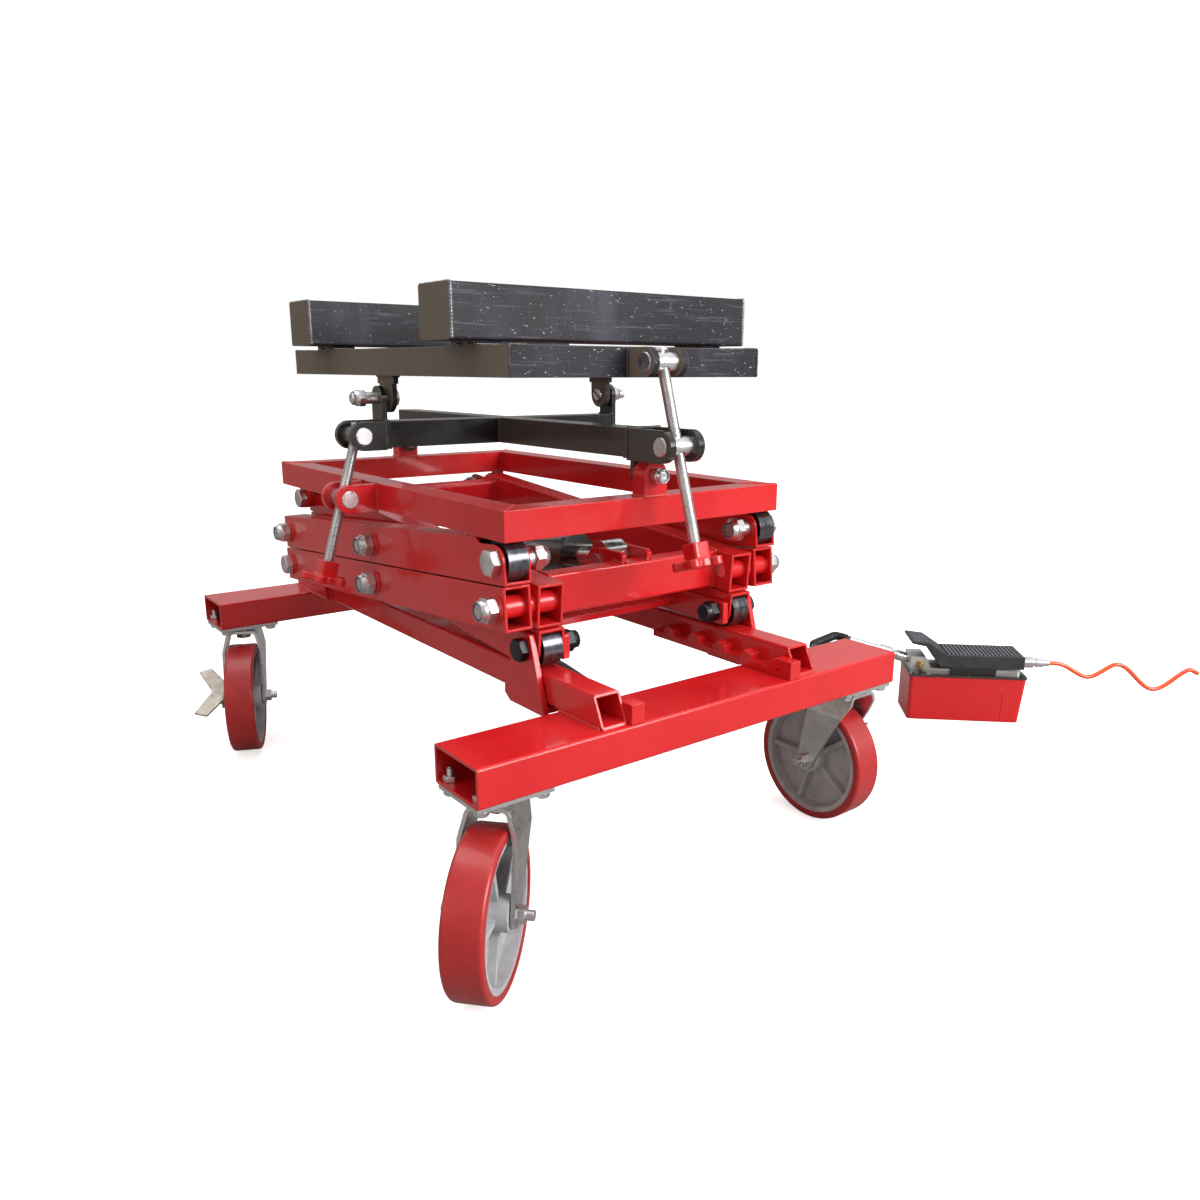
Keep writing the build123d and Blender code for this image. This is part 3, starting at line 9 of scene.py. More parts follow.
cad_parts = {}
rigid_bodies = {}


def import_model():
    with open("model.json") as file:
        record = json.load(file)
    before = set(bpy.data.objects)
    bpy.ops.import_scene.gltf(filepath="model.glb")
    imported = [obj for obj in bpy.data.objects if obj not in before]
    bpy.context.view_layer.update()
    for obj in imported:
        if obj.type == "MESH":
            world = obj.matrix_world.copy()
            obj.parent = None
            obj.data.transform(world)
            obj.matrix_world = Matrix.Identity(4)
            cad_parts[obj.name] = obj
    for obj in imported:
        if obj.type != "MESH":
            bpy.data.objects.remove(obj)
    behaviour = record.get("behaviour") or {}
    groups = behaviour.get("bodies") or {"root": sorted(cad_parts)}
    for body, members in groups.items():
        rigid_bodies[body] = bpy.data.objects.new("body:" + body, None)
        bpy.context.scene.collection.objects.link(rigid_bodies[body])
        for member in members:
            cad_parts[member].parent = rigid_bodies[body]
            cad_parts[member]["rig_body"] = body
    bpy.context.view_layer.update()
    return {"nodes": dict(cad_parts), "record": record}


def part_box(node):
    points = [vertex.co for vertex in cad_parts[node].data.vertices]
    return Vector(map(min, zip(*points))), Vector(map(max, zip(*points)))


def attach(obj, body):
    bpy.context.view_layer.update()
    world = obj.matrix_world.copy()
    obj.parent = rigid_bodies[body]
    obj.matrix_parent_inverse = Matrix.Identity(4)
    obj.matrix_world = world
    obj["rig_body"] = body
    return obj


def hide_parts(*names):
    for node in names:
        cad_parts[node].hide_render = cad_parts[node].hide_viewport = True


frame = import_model()
NODES = frame["nodes"]


# --- materials ------------------------------------------------------------------------------
class Shader:
    """Small helper that builds a node tree."""

    def __init__(self, name):
        self.material = bpy.data.materials.new(name)
        self.material.use_nodes = True
        self.tree = self.material.node_tree
        self.tree.nodes.clear()
        self.output = self.tree.nodes.new("ShaderNodeOutputMaterial")
        self.bsdf = self.tree.nodes.new("ShaderNodeBsdfPrincipled")
        self.tree.links.new(self.bsdf.outputs[0], self.output.inputs[0])
        self.coords = self.tree.nodes.new("ShaderNodeTexCoord").outputs["Object"]

    def node(self, kind, **values):
        made = self.tree.nodes.new(kind)
        for key, value in values.items():
            socket = made.inputs.get(key.replace("_", " "))
            if socket is not None:
                self.feed(socket, value)
            else:
                setattr(made, key, value)
        return made

    def feed(self, socket, value):
        if isinstance(value, bpy.types.NodeSocket):
            self.tree.links.new(value, socket)
        else:
            socket.default_value = value

    def noise(self, scale, detail=4.0, roughness=0.55, stretch=(1, 1, 1), offset=(0, 0, 0)):
        mapping = self.node("ShaderNodeMapping", Vector=self.coords, Scale=stretch, Location=offset)
        made = self.node("ShaderNodeTexNoise", Vector=mapping.outputs[0], Scale=scale, Detail=detail,
                         Roughness=roughness)
        return made.outputs[0]

    def ramp(self, value, low, high, out_low=0.0, out_high=1.0):
        made = self.node("ShaderNodeMapRange", Value=value, From_Min=low, From_Max=high, To_Min=out_low,
                         To_Max=out_high)
        return made.outputs[0]

    def math(self, operation, a, b=0.5):
        made = self.tree.nodes.new("ShaderNodeMath")
        made.operation = operation
        self.feed(made.inputs[0], a)
        self.feed(made.inputs[1], b)
        return made.outputs[0]

    def mix(self, factor, a, b):
        made = self.tree.nodes.new("ShaderNodeMix")
        made.data_type = "RGBA"
        self.feed(made.inputs[0], factor)
        self.feed(made.inputs[6], a)
        self.feed(made.inputs[7], b)
        return made.outputs[2]

    def facing(self, direction):
        """Cosine between the surface's own normal and a direction, both in the part's frame."""
        dot = self.tree.nodes.new("ShaderNodeVectorMath")
        dot.operation = "DOT_PRODUCT"
        self.tree.links.new(self.tree.nodes.new("ShaderNodeTexCoord").outputs["Normal"], dot.inputs[0])
        dot.inputs[1].default_value = direction
        return dot.outputs["Value"]

    def edge_wear(self, radius=0.0015):
        """1 along convex edges, 0 elsewhere."""
        bevel = self.tree.nodes.new("ShaderNodeBevel")
        bevel.samples = 4
        bevel.inputs[0].default_value = radius
        geometry = self.tree.nodes.new("ShaderNodeNewGeometry")
        dot = self.tree.nodes.new("ShaderNodeVectorMath")
        dot.operation = "DOT_PRODUCT"
        self.tree.links.new(bevel.outputs[0], dot.inputs[0])
        self.tree.links.new(geometry.outputs["True Normal"], dot.inputs[1])
        return self.ramp(dot.outputs["Value"], 0.99, 0.8)

    def finish(self, color, roughness, metallic=0.0, bump=None, bump_strength=0.2, bump_distance=0.0004,
               bevel=0.0012, coat=0.0, coat_roughness=0.05, specular=0.5):
        self.feed(self.bsdf.inputs["Base Color"], color)
        self.feed(self.bsdf.inputs["Roughness"], roughness)
        self.feed(self.bsdf.inputs["Metallic"], metallic)
        self.feed(self.bsdf.inputs["Coat Weight"], coat)
        self.feed(self.bsdf.inputs["Coat Roughness"], coat_roughness)
        self.feed(self.bsdf.inputs["Specular IOR Level"], specular)
        normal = None
        if bevel:
            soft = self.tree.nodes.new("ShaderNodeBevel")
            soft.samples = 4
            soft.inputs[0].default_value = bevel
            normal = soft.outputs[0]
        if bump is not None:
            bumper = self.node("ShaderNodeBump", Height=bump, Strength=bump_strength, Distance=bump_distance)
            if normal is not None:
                self.tree.links.new(normal, bumper.inputs["Normal"])
            normal = bumper.outputs[0]
        if normal is not None:
            self.tree.links.new(normal, self.bsdf.inputs["Normal"])
            self.tree.links.new(normal, self.bsdf.inputs["Coat Normal"])
        return self.material


def red_paint():
    """Glossy sprayed red with a light orange peel, dark specks and worn edges."""
    s = Shader("red_gloss_paint")
    cloud = s.noise(5.0, 3.0)
    shade = s.mix(s.ramp(cloud, 0.35, 0.65), (0.56, 0.009, 0.012, 1), (0.64, 0.015, 0.018, 1))
    specks = s.ramp(s.noise(420.0, 2.0), 0.71, 0.74)
    shade = s.mix(s.math("MULTIPLY", specks, 0.35), shade, (0.25, 0.02, 0.02, 1))
    shade = s.mix(s.math("MULTIPLY", s.edge_wear(), 0.3), shade, (0.85, 0.16, 0.15, 1))
    peel = s.noise(260.0, 3.0)
    rough = s.ramp(s.noise(14.0, 5.0), 0.3, 0.7, 0.22, 0.36)
    return s.finish(shade, rough, bump=peel, bump_strength=0.08, bump_distance=0.0003, bevel=0.0022,
                    coat=0.5, coat_roughness=0.06, specular=0.35)


def black_paint():
    """Deep gloss black with faint dust, scratches and chipped edges, and a painted warm reflection on the
    faces toward -X.
    """
    s = Shader("black_gloss_paint")
    dust = s.ramp(s.noise(3.0, 5.0), 0.35, 0.75)
    shade = s.mix(dust, (0.006, 0.006, 0.007, 1), (0.014, 0.013, 0.013, 1))
    # Painted reflection: faces turned toward -X are mixed toward a warm brown-grey, standing in for warm light
    # reflected from the left.
    painted_left_reflection = s.math("MULTIPLY", s.ramp(s.facing((-1, 0, 0)), 0.5, 0.95), 0.3)
    shade = s.mix(painted_left_reflection, shade, (0.16, 0.135, 0.11, 1))
    scratch = s.ramp(s.noise(9.0, 6.0, 0.7, stretch=(6, 60, 60)), 0.62, 0.68)
    shade = s.mix(s.math("MULTIPLY", scratch, 0.12), shade, (0.16, 0.16, 0.18, 1))
    specks = s.ramp(s.noise(330.0, 2.0), 0.72, 0.75)
    shade = s.mix(s.math("MULTIPLY", specks, 0.35), shade, (0.3, 0.3, 0.34, 1))
    shade = s.mix(s.math("MULTIPLY", s.edge_wear(), 0.3), shade, (0.2, 0.19, 0.2, 1))
    rough = s.ramp(s.noise(10.0, 5.0), 0.3, 0.7, 0.14, 0.3)
    return s.finish(shade, rough, bump=s.noise(200.0, 3.0), bump_strength=0.08, bevel=0.0022, coat=0.4,
                    coat_roughness=0.1)


def worn_black_with_painted_reflections():
    """Black over rolled tube: a painted brown-grey reflection at the left, and at the front a painted lighter
    slate with a painted sheen and streaks.
    """
    s = Shader("worn_black_paint_with_painted_reflections")
    shade = s.mix(s.noise(4.0, 4.0), (0.008, 0.008, 0.009, 1), (0.016, 0.016, 0.018, 1))
    # Painted reflection: faces toward -Y are lifted to a lighter slate.
    front = s.ramp(s.facing((0, -1, 0)), 0.5, 0.95)
    shade = s.mix(front, shade, (0.02, 0.02, 0.026, 1))
    # Painted sheen: lighter bluish blotches, on the faces toward -Y only.
    sheen = s.ramp(s.noise(7.0, 4.0, stretch=(1.4, 1, 0.5)), 0.5, 0.72)
    shade = s.mix(s.math("MULTIPLY", s.math("MULTIPLY", sheen, front), 0.55), shade, (0.085, 0.085, 0.12, 1))
    streaks = s.ramp(s.noise(60.0, 3.0, 0.7, stretch=(0.14, 1, 3.2)), 0.58, 0.66)
    shade = s.mix(s.math("MULTIPLY", s.math("MULTIPLY", streaks, front), 0.55), shade, (0.1, 0.1, 0.13, 1))
    chips = s.ramp(s.noise(230.0, 3.0, 0.7, stretch=(0.6, 1, 1.3)), 0.665, 0.695)
    shade = s.mix(s.math("MULTIPLY", s.math("MULTIPLY", chips, front), 0.85), shade, (0.62, 0.62, 0.68, 1))
    # Painted reflection: faces toward -X are mixed toward a warm brown-grey, in patches.
    painted_left_reflection = s.ramp(s.facing((-1, 0, 0)), 0.5, 0.95)
    patches = s.ramp(s.noise(6.0, 3.0, stretch=(1, 1, 0.3)), 0.3, 0.7)
    brown = s.mix(patches, (0.155, 0.13, 0.105, 1), (0.2, 0.17, 0.14, 1))
    shade = s.mix(s.math("MULTIPLY", painted_left_reflection, 0.85), shade, brown)
    shade = s.mix(s.math("MULTIPLY", s.edge_wear(0.002), 0.45), shade, (0.42, 0.41, 0.45, 1))
    rough = s.ramp(s.noise(12.0, 5.0), 0.3, 0.7, 0.42, 0.58)
    dents = s.noise(90.0, 5.0, 0.7, stretch=(0.3, 1, 2.0))
    return s.finish(shade, rough, bump=dents, bump_strength=0.35, bevel=0.0022, specular=0.22)


def roller_steel():
    """Blackened sides and a bright running surface, worn by rubbing."""
    s = Shader("roller_steel")
    side = s.math("MAXIMUM", s.facing((1, 0, 0)), s.facing((-1, 0, 0)))
    lines = s.noise(50.0, 4.0, 0.6, stretch=(2.5, 0.6, 0.6))
    tread = s.mix(s.ramp(lines, 0.4, 0.65), (0.1, 0.1, 0.115, 1), (0.17, 0.17, 0.19, 1))
    pits = s.ramp(s.noise(160.0, 2.0), 0.68, 0.72)
    tread = s.mix(s.math("MULTIPLY", pits, 0.5), tread, (0.22, 0.15, 0.11, 1))
    shade = s.mix(s.ramp(side, 0.35, 0.6), tread, (0.012, 0.012, 0.012, 1))
    rough = s.ramp(lines, 0.3, 0.7, 0.16, 0.32)
    return s.finish(shade, rough, metallic=0.9, bump=lines, bump_strength=0.05, bump_distance=0.0002,
                    bevel=0.0012)


def metal(name, light, dark, rough_low, rough_high, scale=90.0, bevel=0.0008, bump=0.15):
    s = Shader(name)
    grain = s.noise(scale, 5.0, 0.65)
    blotch = s.noise(18.0, 4.0)
    shade = s.mix(s.ramp(blotch, 0.35, 0.68), (*light, 1), (*dark, 1))
    dull = tuple(c * 0.6 for c in light) + (1,)
    shade = s.mix(s.math("MULTIPLY", s.ramp(grain, 0.55, 0.75), 0.4), shade, dull)
    rough = s.ramp(grain, 0.3, 0.7, rough_low, rough_high)
    return s.finish(shade, rough, metallic=1.0, bump=grain, bump_strength=bump, bump_distance=0.0002,
                    bevel=bevel)


def plain(name, light, dark, rough_low, rough_high, scale=60.0, bump=0.2, bump_scale=400.0, bevel=0.001,
          coat=0.0):
    """Paint, plastic or rubber: clouded colour, uneven gloss and a fine bump."""
    s = Shader(name)
    cloud = s.noise(scale, 4.0)
    shade = s.mix(s.ramp(cloud, 0.35, 0.65), (*light, 1), (*dark, 1))
    rough = s.ramp(s.noise(scale * 0.6, 4.0), 0.3, 0.7, rough_low, rough_high)
    return s.finish(shade, rough, bump=s.noise(bump_scale, 3.0), bump_strength=bump, bevel=bevel, coat=coat)


LOOKS = {
    "red_paint": red_paint(),
    "black_paint": black_paint(),
    "zinc_hardware": metal("zinc_plate", (0.78, 0.79, 0.8), (0.6, 0.61, 0.63), 0.22, 0.42),
    "bright_steel": metal("ground_steel", (0.8, 0.8, 0.82), (0.7, 0.7, 0.72), 0.1, 0.22),
    "black_oxide": metal("black_oxide", (0.06, 0.06, 0.065), (0.03, 0.03, 0.03), 0.3, 0.5),
    "roller_steel": roller_steel(),
    "cast_grey": plain("cast_grey", (0.5, 0.5, 0.52), (0.38, 0.38, 0.4), 0.3, 0.5, scale=34.0, bump=0.55,
                       bump_scale=300.0),
    "red_tyre": plain("red_tyre", (0.37, 0.011, 0.012), (0.44, 0.018, 0.018), 0.3, 0.5, scale=24.0,
                      coat=0.25),
    "pedal_steel": metal("pedal_steel", (0.5, 0.46, 0.4), (0.36, 0.33, 0.28), 0.35, 0.55),
    "black_shell": plain("black_shell", (0.022, 0.022, 0.027), (0.036, 0.036, 0.043), 0.38, 0.55),
    "pump_aluminium": metal("pump_aluminium", (0.8, 0.8, 0.79), (0.68, 0.68, 0.67), 0.35, 0.5),
    "brass": metal("brass", (0.72, 0.5, 0.22), (0.6, 0.4, 0.16), 0.25, 0.4),
    "hose_rubber": plain("hose_rubber", (0.02, 0.02, 0.021), (0.035, 0.035, 0.035), 0.4, 0.6),
    "orange_hose": plain("orange_hose", (0.85, 0.07, 0.008), (0.92, 0.1, 0.014), 0.18, 0.3, coat=0.5),
}
for entry in frame["record"]["subparts"]:
    mesh_object = NODES[entry["node"]]
    mesh_object.data.materials.clear()
    mesh_object.data.materials.append(LOOKS[entry["material_slot"]])
# Table frame and load tubes: black with painted reflections on the faces toward -X and -Y.
worn_black_painted_reflections = worn_black_with_painted_reflections()
for node in ("table_frame", "load_tubes"):
    NODES[node].data.materials[0] = worn_black_painted_reflections


# --- added geometry -------------------------------------------------------------------------
LAYOUT = (433.1, -5.5)


def at(x, y, z):
    """Layout millimetres, measured from the middle of the table, to the shared frame in metres."""
    return Vector(((x - LAYOUT[0]) / 1000, (y - LAYOUT[1]) / 1000, z / 1000))


def add_mesh(name, vertices, faces, slot_name, body, sharp=None, look=None):
    """One new piece riding on a body. Edges sharper than the given angle stay crisp."""
    mesh = bpy.data.meshes.new(name)
    mesh.from_pydata([tuple(v) for v in vertices], [], faces)
    mesh.update()
    mesh.shade_smooth()
    if sharp:
        mesh.set_sharp_from_angle(angle=math.radians(sharp))
    made = bpy.data.objects.new(name, mesh)
    bpy.context.collection.objects.link(made)
    made.data.materials.append(look or LOOKS[slot_name])
    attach(made, body)
    return made


def frames_along(points):
    """Tangent and two normals at each point of a path, carried along without twist."""
    result = []
    normal = None
    for index, point in enumerate(points):
        before = points[max(index - 1, 0)]
        after = points[min(index + 1, len(points) - 1)]
        tangent = (after - before).normalized()
        if normal is None:
            seed = Vector((0, 0, 1)) if abs(tangent.z) < 0.9 else Vector((1, 0, 0))
            normal = tangent.cross(seed).normalized()
        normal = (normal - tangent * normal.dot(tangent)).normalized()
        result.append((tangent, normal, tangent.cross(normal)))
    return result


def resample(points, step):
    """Evenly spaced points along a polyline."""
    spaced = [points[0].copy()]
    carry = 0.0
    for a, b in zip(points, points[1:]):
        length = (b - a).length
        if length < 1e-9:
            continue
        place = step - carry
        while place <= length:
            spaced.append(a.lerp(b, place / length))
            place += step
        carry = length - (place - step)
    if (spaced[-1] - points[-1]).length > step * 0.3:
        spaced.append(points[-1].copy())
    return spaced


def tube_geometry(points, radius, sides, vertices, faces, closed=False):
    """Adds a tube round a path. radius is a number, or a function of the point's index."""
    base = len(vertices)
    for index, (point, (_, u, v)) in enumerate(zip(points, frames_along(points))):
        size = radius(index) if callable(radius) else radius
        for k in range(sides):
            angle = 2 * math.pi * k / sides
            vertices.append(point + (u * math.cos(angle) + v * math.sin(angle)) * size)
    rings = len(points)
    last = rings if closed else rings - 1
    for ring in range(last):
        for k in range(sides):
            a = base + ring * sides + k
            b = base + ring * sides + (k + 1) % sides
            c = base + ((ring + 1) % rings) * sides + (k + 1) % sides
            d = base + ((ring + 1) % rings) * sides + k
            faces.append((a, b, c, d))
    if not closed:
        faces.append(tuple(base + k for k in reversed(range(sides))))
        faces.append(tuple(base + (rings - 1) * sides + k for k in range(sides)))


class Beads:
    """Rippled weld beads of one body, collected into one object."""

    def __init__(self, name, body, slot_name):
        self.name, self.body, self.slot_name = name, body, slot_name
        self.vertices, self.faces = [], []

    def run(self, *points, size=2.6):
        path = resample([at(*point) for point in points], 0.0012)
        phase = len(self.vertices)

        def radius(index):
            ripple = 0.8 + 0.22 * abs(math.sin(index * 0.9 + phase)) + 0.08 * math.sin(index * 0.31 + phase)
            return size * ripple / 1000
        tube_geometry(path, radius, 8, self.vertices, self.faces)

    def ring_x(self, x, y, z, radius, size=2.2, turn=0.0):
        steps = 48
        spokes = [turn + 2 * math.pi * k / steps for k in range(steps + 1)]
        self.run(*[(x, y + radius * math.cos(a), z + radius * math.sin(a)) for a in spokes], size=size)

    def frame_x(self, x, y, z, depth, height, lean=0.0, size=2.4):
        """Round a rectangular tube that meets a face at x. The tube is turned by lean about X."""
        corners = [(-1, -1), (1, -1), (1, 1), (-1, 1), (-1, -1)]
        spots = []
        for across, up in corners:
            dy, dz = across * depth / 2, up * height / 2
            spots.append((x, y + dy * math.cos(lean) - dz * math.sin(lean),
                          z + dy * math.sin(lean) + dz * math.cos(lean)))
        self.run(*spots, size=size)

    def build(self, look=None):
        return add_mesh(self.name, self.vertices, self.faces, self.slot_name, self.body, look=look)


class Hardware:
    """Chamfered bolt heads, domed lock nuts, washers and threaded ends, collected into one object."""

    AROUND = 72

    def __init__(self, name, body, slot_name, *nodes):
        self.name, self.body, self.slot_name, self.nodes = name, body, slot_name, nodes
        self.vertices, self.faces = [], []
        self.inserts = ([], [])

    def lathe(self, origin, axis, rings, into=None):
        """Rings of (distance along the axis, radius), where a radius may depend on the angle."""
        vertices, faces = into or (self.vertices, self.faces)
        axis = Vector(axis).normalized()
        side = axis.cross(Vector((0, 0, 1) if abs(axis.z) < 0.9 else (1, 0, 0))).normalized()
        across = axis.cross(side)
        base = len(vertices)
        for along, radius in rings:
            for k in range(self.AROUND):
                angle = 2 * math.pi * k / self.AROUND
                size = radius(angle) if callable(radius) else radius
                spoke = side * math.cos(angle) + across * math.sin(angle)
                vertices.append(at(*(Vector(origin) + axis * along + spoke * size)))
        for ring in range(len(rings) - 1):
            for k in range(self.AROUND):
                a = base + ring * self.AROUND + k
                b = base + ring * self.AROUND + (k + 1) % self.AROUND
                faces.append((a, b, b + self.AROUND, a + self.AROUND))
        faces.append(tuple(base + k for k in reversed(range(self.AROUND))))
        last = base + (len(rings) - 1) * self.AROUND
        faces.append(tuple(last + k for k in range(self.AROUND)))

    def hexagon(self, flats, cone=None):
        """Radius of a hexagon at an angle, cut back to the chamfer cone."""
        def radius(angle):
            fold = (angle % (math.pi / 3)) - math.pi / 6
            size = flats / 2 / math.cos(fold)
            return size if cone is None else min(size, cone)
        return radius

    def hex_body(self, origin, axis, flats, height, chamfer_near=False, chamfer_far=True):
        steps = [0, 0.35, 0.7, 1.05, 1.4, 1.9, 2.4]
        inner = flats / 2 * 0.95
        rings = []
        if chamfer_near:
            rings += [(z, self.hexagon(flats, inner + z * 1.73)) for z in steps]
        else:
            rings += [(0, self.hexagon(flats))]
        if chamfer_far:
            rings += [(height - z, self.hexagon(flats, inner + z * 1.73)) for z in reversed(steps)]
        else:
            rings += [(height, self.hexagon(flats))]
        self.lathe(origin, axis, rings)

    def head(self, origin, axis, flats, height):
        """Bolt head with a washer face, standing outward along the axis."""
        axis = Vector(axis).normalized()
        self.lathe(origin, axis, [(0, flats * 0.46), (0.8, flats * 0.46)])
        self.hex_body(Vector(origin) + axis * 0.7, axis, flats, height - 0.7)

    def shank(self, origin, axis, length, radius, bevel=1.2):
        dimple = min(2.2, radius * 0.3)
        self.lathe(origin, axis, [(0, radius), (length - bevel, radius), (length, radius - bevel),
                                  (length, dimple), (length - 1.6, dimple * 0.6)])

    def washer(self, origin, axis, radius, thickness):
        self.lathe(origin, axis, [(0, radius - 0.4), (0.4, radius), (thickness - 0.4, radius),
                                  (thickness, radius - 0.4)])

    def lock_nut(self, origin, axis, flats, height, bolt):
        """Hex nut with a domed collar, a nylon ring in its end and the bolt's end in the ring."""
        axis = Vector(axis).normalized()
        half = flats / 2
        body = height * 0.62
        self.hex_body(origin, axis, flats, body + 0.4, chamfer_near=True)
        dome = []
        for step in range(9):
            lift = step / 8
            dome.append((body + (height - body) * lift, half * (0.94 - 0.2 * lift * lift)))
        rim = bolt + 2.2
        dome += [(height, rim), (height - 1.2, rim - 0.2)]
        self.lathe(origin, axis, [(body - 0.6, half * 0.9)] + dome)
        self.lathe(Vector(origin) + axis * (height - 1.5), axis,
                   [(0, rim), (0.9, rim - 0.1), (1.0, bolt - 0.4), (-0.4, bolt - 0.5)], into=self.inserts)

    def thread(self, origin, axis, length, radius, pitch=2.0):
        axis = Vector(axis).normalized()
        end = Vector(origin) + axis * length
        thread_geometry(at(*origin), at(*end), 0, length, radius, radius - 0.9, pitch, self.vertices,
                        self.faces)

    def build(self):
        made = add_mesh(self.name, self.vertices, self.faces, self.slot_name, self.body, sharp=32)
        if self.inserts[0]:
            add_mesh(self.name + "_nylon", *self.inserts, "black_shell", self.body, sharp=32, look=NYLON)
        if self.nodes:
            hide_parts(*self.nodes)
        return made


def fillet_path(points, radius):
    """Polyline with its corners rounded, as the hose is bent."""
    path = [points[0]]
    for before, corner, after in zip(points, points[1:], points[2:]):
        a = (before - corner).normalized()
        b = (after - corner).normalized()
        angle = a.angle(b)
        reach = radius / math.tan(angle / 2)
        centre = corner + (a + b).normalized() * (radius / math.sin(angle / 2))
        start = corner + a * reach
        end = corner + b * reach
        for step in range(13):
            spoke = (start - centre).normalized().slerp((end - centre).normalized(), step / 12)
            path.append(centre + spoke * radius)
    path.append(points[-1])
    return path


def thread_geometry(top, toward, start, length, outer, root, pitch, vertices, faces):
    """Helical thread from start to start + length, in millimetres along the line from top to toward."""
    axis = (toward - top).normalized()
    side = axis.cross(Vector((0, 1, 0) if abs(axis.y) < 0.5 else (1, 0, 0))).normalized()
    across = axis.cross(side)
    rings = int(length / (pitch / 6))
    around = 28
    base = len(vertices)
    for ring in range(rings + 1):
        along = start + length * ring / rings
        for k in range(around):
            turn = k / around
            wave = abs(((along / pitch - turn) % 1.0) * 2 - 1)
            blunt = min(1.0, max(0.0, (wave - 0.12) / 0.76))
            taper = min(1.0, (start + length - along) / 3.0 + 0.6)
            radius = (root + (outer - root) * blunt) * taper
            angle = 2 * math.pi * turn
            spoke = side * math.cos(angle) + across * math.sin(angle)
            vertices.append(top + axis * (along / 1000) + spoke * (radius / 1000))
    for ring in range(rings):
        for k in range(around):
            a = base + ring * around + k
            b = base + ring * around + (k + 1) % around
            faces.append((a, b, b + around, a + around))
    faces.append(tuple(base + k for k in reversed(range(around))))
    faces.append(tuple(base + rings * around + k for k in range(around)))


def smoothed_casting(name, node, body, voxel=0.0009, rounds=6):
    """A CAD node's copy with cast, softened edges."""
    source = NODES[node]
    mesh = source.data.copy()
    made = bpy.data.objects.new(name, mesh)
    bpy.context.collection.objects.link(made)
    remesh = made.modifiers.new("remesh", "REMESH")
    remesh.mode = "VOXEL"
    remesh.voxel_size = voxel
    smooth = made.modifiers.new("smooth", "SMOOTH")
    smooth.factor = 0.5
    smooth.iterations = rounds
    depsgraph = bpy.context.evaluated_depsgraph_get()
    result = bpy.data.meshes.new_from_object(made.evaluated_get(depsgraph))
    made.modifiers.clear()
    made.data = result
    result.shade_smooth()
    made.data.materials.clear()
    made.data.materials.append(source.data.materials[0])
    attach(made, body)
    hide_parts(node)
    return made


ROLL_HUB_DISTANCE = math.hypot(-314.7 + 259, 430.2 - 616)
PITCH_HUB_DISTANCE = 242.6
SCREW_ABOVE_PIN, SCREW_BELOW_HUB = 19, 30
SCREW_RADIUS, SCREW_ROOT, SCREW_LEAD = 8, 7.0, 2.0


def tilt_screws():
    """Threaded rods in place of the plain ones, a washer above each top pin, and cast star knobs."""
    for name, top, run, hub in (("roll", (-259, 16, 616), (-27.6, 0, -92), ROLL_HUB_DISTANCE),
                                ("pitch", (0, -387, 724), (0, -33.5, -108), PITCH_HUB_DISTANCE)):
        axis = Vector(run).normalized()
        rod = Hardware(f"{name}_screw_thread", f"{name}_screw", "zinc_hardware", f"{name}_screw_rod")
        start = Vector(top) - axis * SCREW_ABOVE_PIN
        thread_geometry(at(*start), at(*(start + axis)), 0, SCREW_ABOVE_PIN + hub + SCREW_BELOW_HUB,
                        SCREW_RADIUS, SCREW_ROOT, SCREW_LEAD, rod.vertices, rod.faces)
        rod.washer(Vector(top) - axis * 17.4, axis, 11, 4)
        rod.build()
        smoothed_casting(f"{name}_knob_casting", f"{name}_screw_knob", f"{name}_screw")


REAR_Y, FRONT_Y, CENTRE_Y = 385, -352.5, 16.2
LOW_Z, MID_Z, HIGH_Z = 357.5, 418, 478.5
LOW_CENTRE_Z, HIGH_CENTRE_Z = (LOW_Z + MID_Z) / 2, (MID_Z + HIGH_Z) / 2
OUTER_FACE, INNER_FACE, BRACKET_FACE = 247, 153, 193


NUT_FLATS, NUT_HEIGHT, HEAD_HEIGHT, PIVOT_RADIUS = 32, 23, 12.5, 10


def through_bolt(set_of, side, y, z, head_x, nut_x, flats=NUT_FLATS, height=NUT_HEIGHT,
                 radius=PIVOT_RADIUS):
    """Bolt along X with its head at head_x and its lock nut at nut_x."""
    outward = 1 if nut_x * side > head_x * side else -1
    direction = (side * outward, 0, 0)
    back = (-side * outward, 0, 0)
    set_of.head((head_x, y, z), back, flats, HEAD_HEIGHT)
    set_of.shank((head_x, y, z), direction, abs(nut_x - head_x) + height - 1, radius)
    set_of.lock_nut((nut_x, y, z), direction, flats, height, radius)


